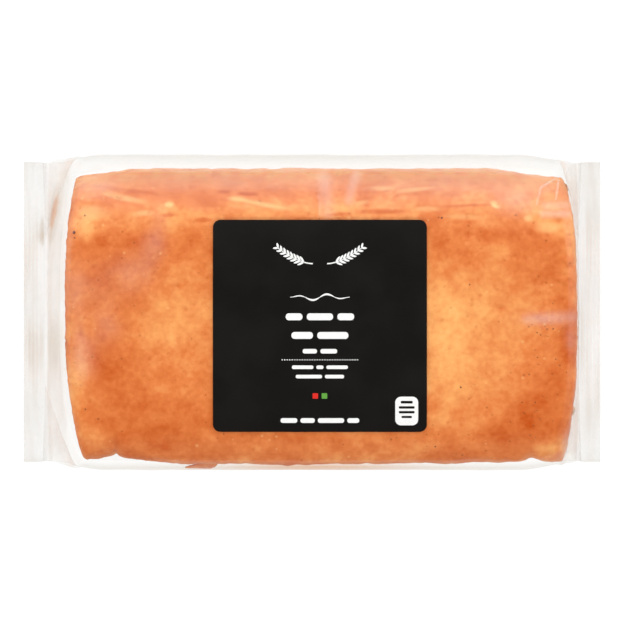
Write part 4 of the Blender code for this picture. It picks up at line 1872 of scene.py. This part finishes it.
def make_film_material(patches, fold_group):
    """Clear film: it mirrors from both its faces, is milky where crimped, and has painted glare,
    painted fold highlights, painted shade and a painted reflection of the crust.
    """
    material, tree, place = new_material("clear_film")
    relief = bump(tree, noise_at(tree, place, 160.0, 3.0), 0.12, 0.0006)
    inputs = {"Blend": 0.5, "Normal": relief}
    facing = put(tree, "ShaderNodeLayerWeight", inputs).outputs["Facing"]
    steep = calculate(tree, "POWER", facing, 5.0)
    mirror = calculate(tree, "MULTIPLY_ADD", steep, FILM_MORE_MIRROR, FILM_LEAST_MIRROR)
    clear = put(tree, "ShaderNodeBsdfTransparent", {"Color": film_colour(tree, facing)})
    inputs = {"Color": GLOSS_WHITE, "Roughness": 0.14, "Normal": relief}
    gloss = put(tree, "ShaderNodeBsdfGlossy", inputs)
    sheet = put(tree, "ShaderNodeMixShader", {0: mirror, 1: clear.outputs[0], 2: gloss.outputs[0]})
    soft = mask_from(tree, patches, Vector=place, Scale=60.0, Low=0.3, High=0.7)
    uneven = spread(tree, soft, 0.0, 1.0, 0.6, 1.2)
    milk = calculate(tree, "MULTIPLY", read_values(tree, "milk"), uneven)
    # Painted highlights along the sharp folds, on top of the milkiness and painted glare.
    milk = calculate(tree, "ADD", milk, sharp_folds(tree, fold_group, place))
    # A white shader for the milkiness, the painted glare and the painted fold highlights.
    inputs = {"Base Color": FILM_MILK, "Roughness": 0.45, "Normal": relief}
    bloom = put(tree, "ShaderNodeBsdfPrincipled", inputs)
    whole = put(tree, "ShaderNodeMixShader", {0: milk, 1: sheet.outputs[0], 2: bloom.outputs[0]})
    finish_material(tree, whole)
    return material


LABEL_BLACK = (0.0066, 0.0060, 0.0052)
LABEL_PALER = (0.0088, 0.0080, 0.0070)
WORN_INK = (0.02, 0.02, 0.02)


def make_label_material(patches):
    """Satin black, with a faint unevenness where the label is wrinkled."""
    material, tree, place = new_material("label_black")
    soft = mask_from(tree, patches, Vector=place, Scale=45.0, Low=0.35, High=0.7)
    colour = mix_colours(tree, soft, LABEL_BLACK, LABEL_PALER)
    surface = put(
        tree,
        "ShaderNodeBsdfPrincipled",
        {
            "Base Color": colour,
            "Roughness": spread(tree, soft, 0.0, 1.0, 0.44, 0.56),
            "Specular IOR Level": 0.10,
            "Normal": bump(tree, noise_at(tree, place, 900.0, 2.0), 0.05, 0.0002),
        },
    )
    finish_material(tree, surface)
    return material


def make_ink_material(name, colour):
    """Matt ink, worn a little thin in places."""
    material, tree, place = new_material(name)
    fibre = noise_at(tree, place, 700.0, 2.0)
    shade = mix_colours(tree, spread(tree, fibre, 0.3, 0.7, 0.0, 0.06), colour, WORN_INK)
    rough = spread(tree, fibre, 0.3, 0.7, 0.35, 0.5)
    inputs = {"Base Color": shade, "Roughness": rough, "Specular IOR Level": 0.2}
    surface = put(tree, "ShaderNodeBsdfPrincipled", inputs)
    finish_material(tree, surface)
    return material


# --- The studio ----------------------------------------------------------------------------------

CAMERA_HEIGHT = 1.6
VIEW_WIDTH = 0.2608  # what the camera sees across, at the height of the label
SENSOR_WIDTH = 36.0
FLOOR_REACH = 4.0
FLOOR_HEIGHT = -0.0002
FLOOR_SHADE = 0.12
FLOOR_GLOW = 0.92
FLOOR_WHITE = (0.98, 1.0, 1.0, 1.0)
FLOOR_ROUGHNESS = 0.8
FLOOR_GLOSS = 0.1
# How bright the tent is: overhead, and what its wall adds on the near side, on the far side and,
# over that, at the two ends.
TENT_TOP = 0.05
TENT_NEAR = 0.18
TENT_FAR = 1.35
TENT_ENDS = 0.12
# Where the wall gives way to the dark top, by the upward part of the direction, and where the
# near side gives way to the far side and the middle to the ends, by its parts along y and x.
TENT_WALL = (0.78, 0.97)
TENT_FARWARDS = (-0.35, 0.65)
TENT_ENDWARDS = (0.35, 0.90)
# The softboxes: their places and sizes in metres, and their power in watts.
TOP_SOFTBOX = ((0.0, -0.8, 2.4), (1.5, 1.5), 41.4)
FAR_SOFTBOX = ((0.0, 1.7, 0.9), (2.4, 1.0), 4.0)
CLEAR_LAYERS = 24  # how many see-through faces light may pass


def make_camera():
    """The camera, straight above the middle of the pack."""
    data = bpy.data.cameras.new("camera")
    data.sensor_width = SENSOR_WIDTH
    data.lens = SENSOR_WIDTH * CAMERA_HEIGHT / VIEW_WIDTH
    data.clip_start = 0.01
    camera = bpy.data.objects.new("camera", data)
    camera.location = (0.0, 0.0, PACK_HEIGHT + CAMERA_HEIGHT)
    bpy.context.scene.collection.objects.link(camera)
    bpy.context.scene.camera = camera


def make_softbox(name, place, size, power, mirrored=True):
    """A broad lamp that faces the pack. The camera doesn't see it, and gloss only if mirrored."""
    data = bpy.data.lights.new(name, "AREA")
    data.shape = "RECTANGLE"
    data.size, data.size_y = size
    data.energy = power
    lamp = bpy.data.objects.new(name, data)
    lamp.location = place
    towards = -np.array(place)
    flat = math.hypot(towards[0], towards[1])
    lamp.rotation_euler = (
        math.atan2(flat, -towards[2]),
        0.0,
        math.atan2(towards[1], towards[0]) - math.pi / 2,
    )
    lamp.visible_camera = False
    lamp.visible_glossy = mirrored
    bpy.context.scene.collection.objects.link(lamp)


def make_floor():
    """A white table, lit softly from inside, so that the pack throws next to no shadow on it."""
    mesh = bpy.data.meshes.new("floor")
    corners = [(-FLOOR_REACH, -FLOOR_REACH), (FLOOR_REACH, -FLOOR_REACH)]
    corners += [(FLOOR_REACH, FLOOR_REACH), (-FLOOR_REACH, FLOOR_REACH)]
    mesh.from_pydata([(x, y, FLOOR_HEIGHT) for x, y in corners], [], [(0, 1, 2, 3)])
    floor = bpy.data.objects.new("floor", mesh)
    bpy.context.scene.collection.objects.link(floor)
    material = bpy.data.materials.new("floor")
    material.use_nodes = True
    surface = material.node_tree.nodes["Principled BSDF"]
    surface.inputs["Base Color"].default_value = (FLOOR_SHADE, FLOOR_SHADE, FLOOR_SHADE, 1.0)
    surface.inputs["Roughness"].default_value = FLOOR_ROUGHNESS
    surface.inputs["Specular IOR Level"].default_value = FLOOR_GLOSS
    surface.inputs["Emission Color"].default_value = FLOOR_WHITE
    surface.inputs["Emission Strength"].default_value = FLOOR_GLOW
    mesh.materials.append(material)


def make_tent():
    """A white tent of light round the pack: dark above, brightest behind it and at its ends."""
    world = bpy.data.worlds.new("tent")
    world.use_nodes = True
    tree = world.node_tree
    towards = put(tree, "ShaderNodeTexCoord").outputs["Generated"]
    parts = put(tree, "ShaderNodeSeparateXYZ", {"Vector": towards}).outputs
    wall = spread(tree, parts["Z"], *TENT_WALL, 1.0, 0.0)
    light = spread(tree, parts["Y"], *TENT_FARWARDS, TENT_NEAR, TENT_FAR)
    aside = calculate(tree, "ABSOLUTE", parts["X"])
    ends = spread(tree, aside, *TENT_ENDWARDS, 0.0, TENT_ENDS)
    light = calculate(tree, "ADD", light, ends)
    strength = calculate(tree, "MULTIPLY_ADD", wall, light, TENT_TOP)
    background = tree.nodes["Background"]
    background.inputs["Color"].default_value = (1.0, 1.0, 1.0, 1.0)
    tree.links.new(strength, background.inputs["Strength"])
    bpy.context.scene.world = world


def make_studio():
    """The lights and the floor."""
    scene = bpy.context.scene
    scene.view_settings.view_transform = "Standard"
    scene.cycles.transparent_max_bounces = CLEAR_LAYERS
    make_tent()
    make_softbox("top_softbox", *TOP_SOFTBOX, mirrored=False)
    make_softbox("far_softbox", *FAR_SOFTBOX)
    make_floor()


# --- Everything together -------------------------------------------------------------------------

make_camera()
make_studio()
PATCHES = make_patches_group()
SPECKS = make_specks_group()
CRUST = make_crust_material(PATCHES, SPECKS)
FILM = make_film_material(PATCHES, make_fold_group())
LABEL = make_label_material(PATCHES)
WRAP = make_film(FILM)
make_fin_seal(FILM)
CAKE = make_cake(CRUST, WRAP)
make_flap(CRUST)
make_crumbs(CRUST)
make_flecks(CAKE, make_fleck_material())
make_label(LABEL)
make_print(
    make_ink_material("white_ink", (0.86, 0.86, 0.84)),
    LABEL,
    make_ink_material("red_ink", linear(214, 44, 36)),
    make_ink_material("green_ink", linear(96, 158, 66)),
)
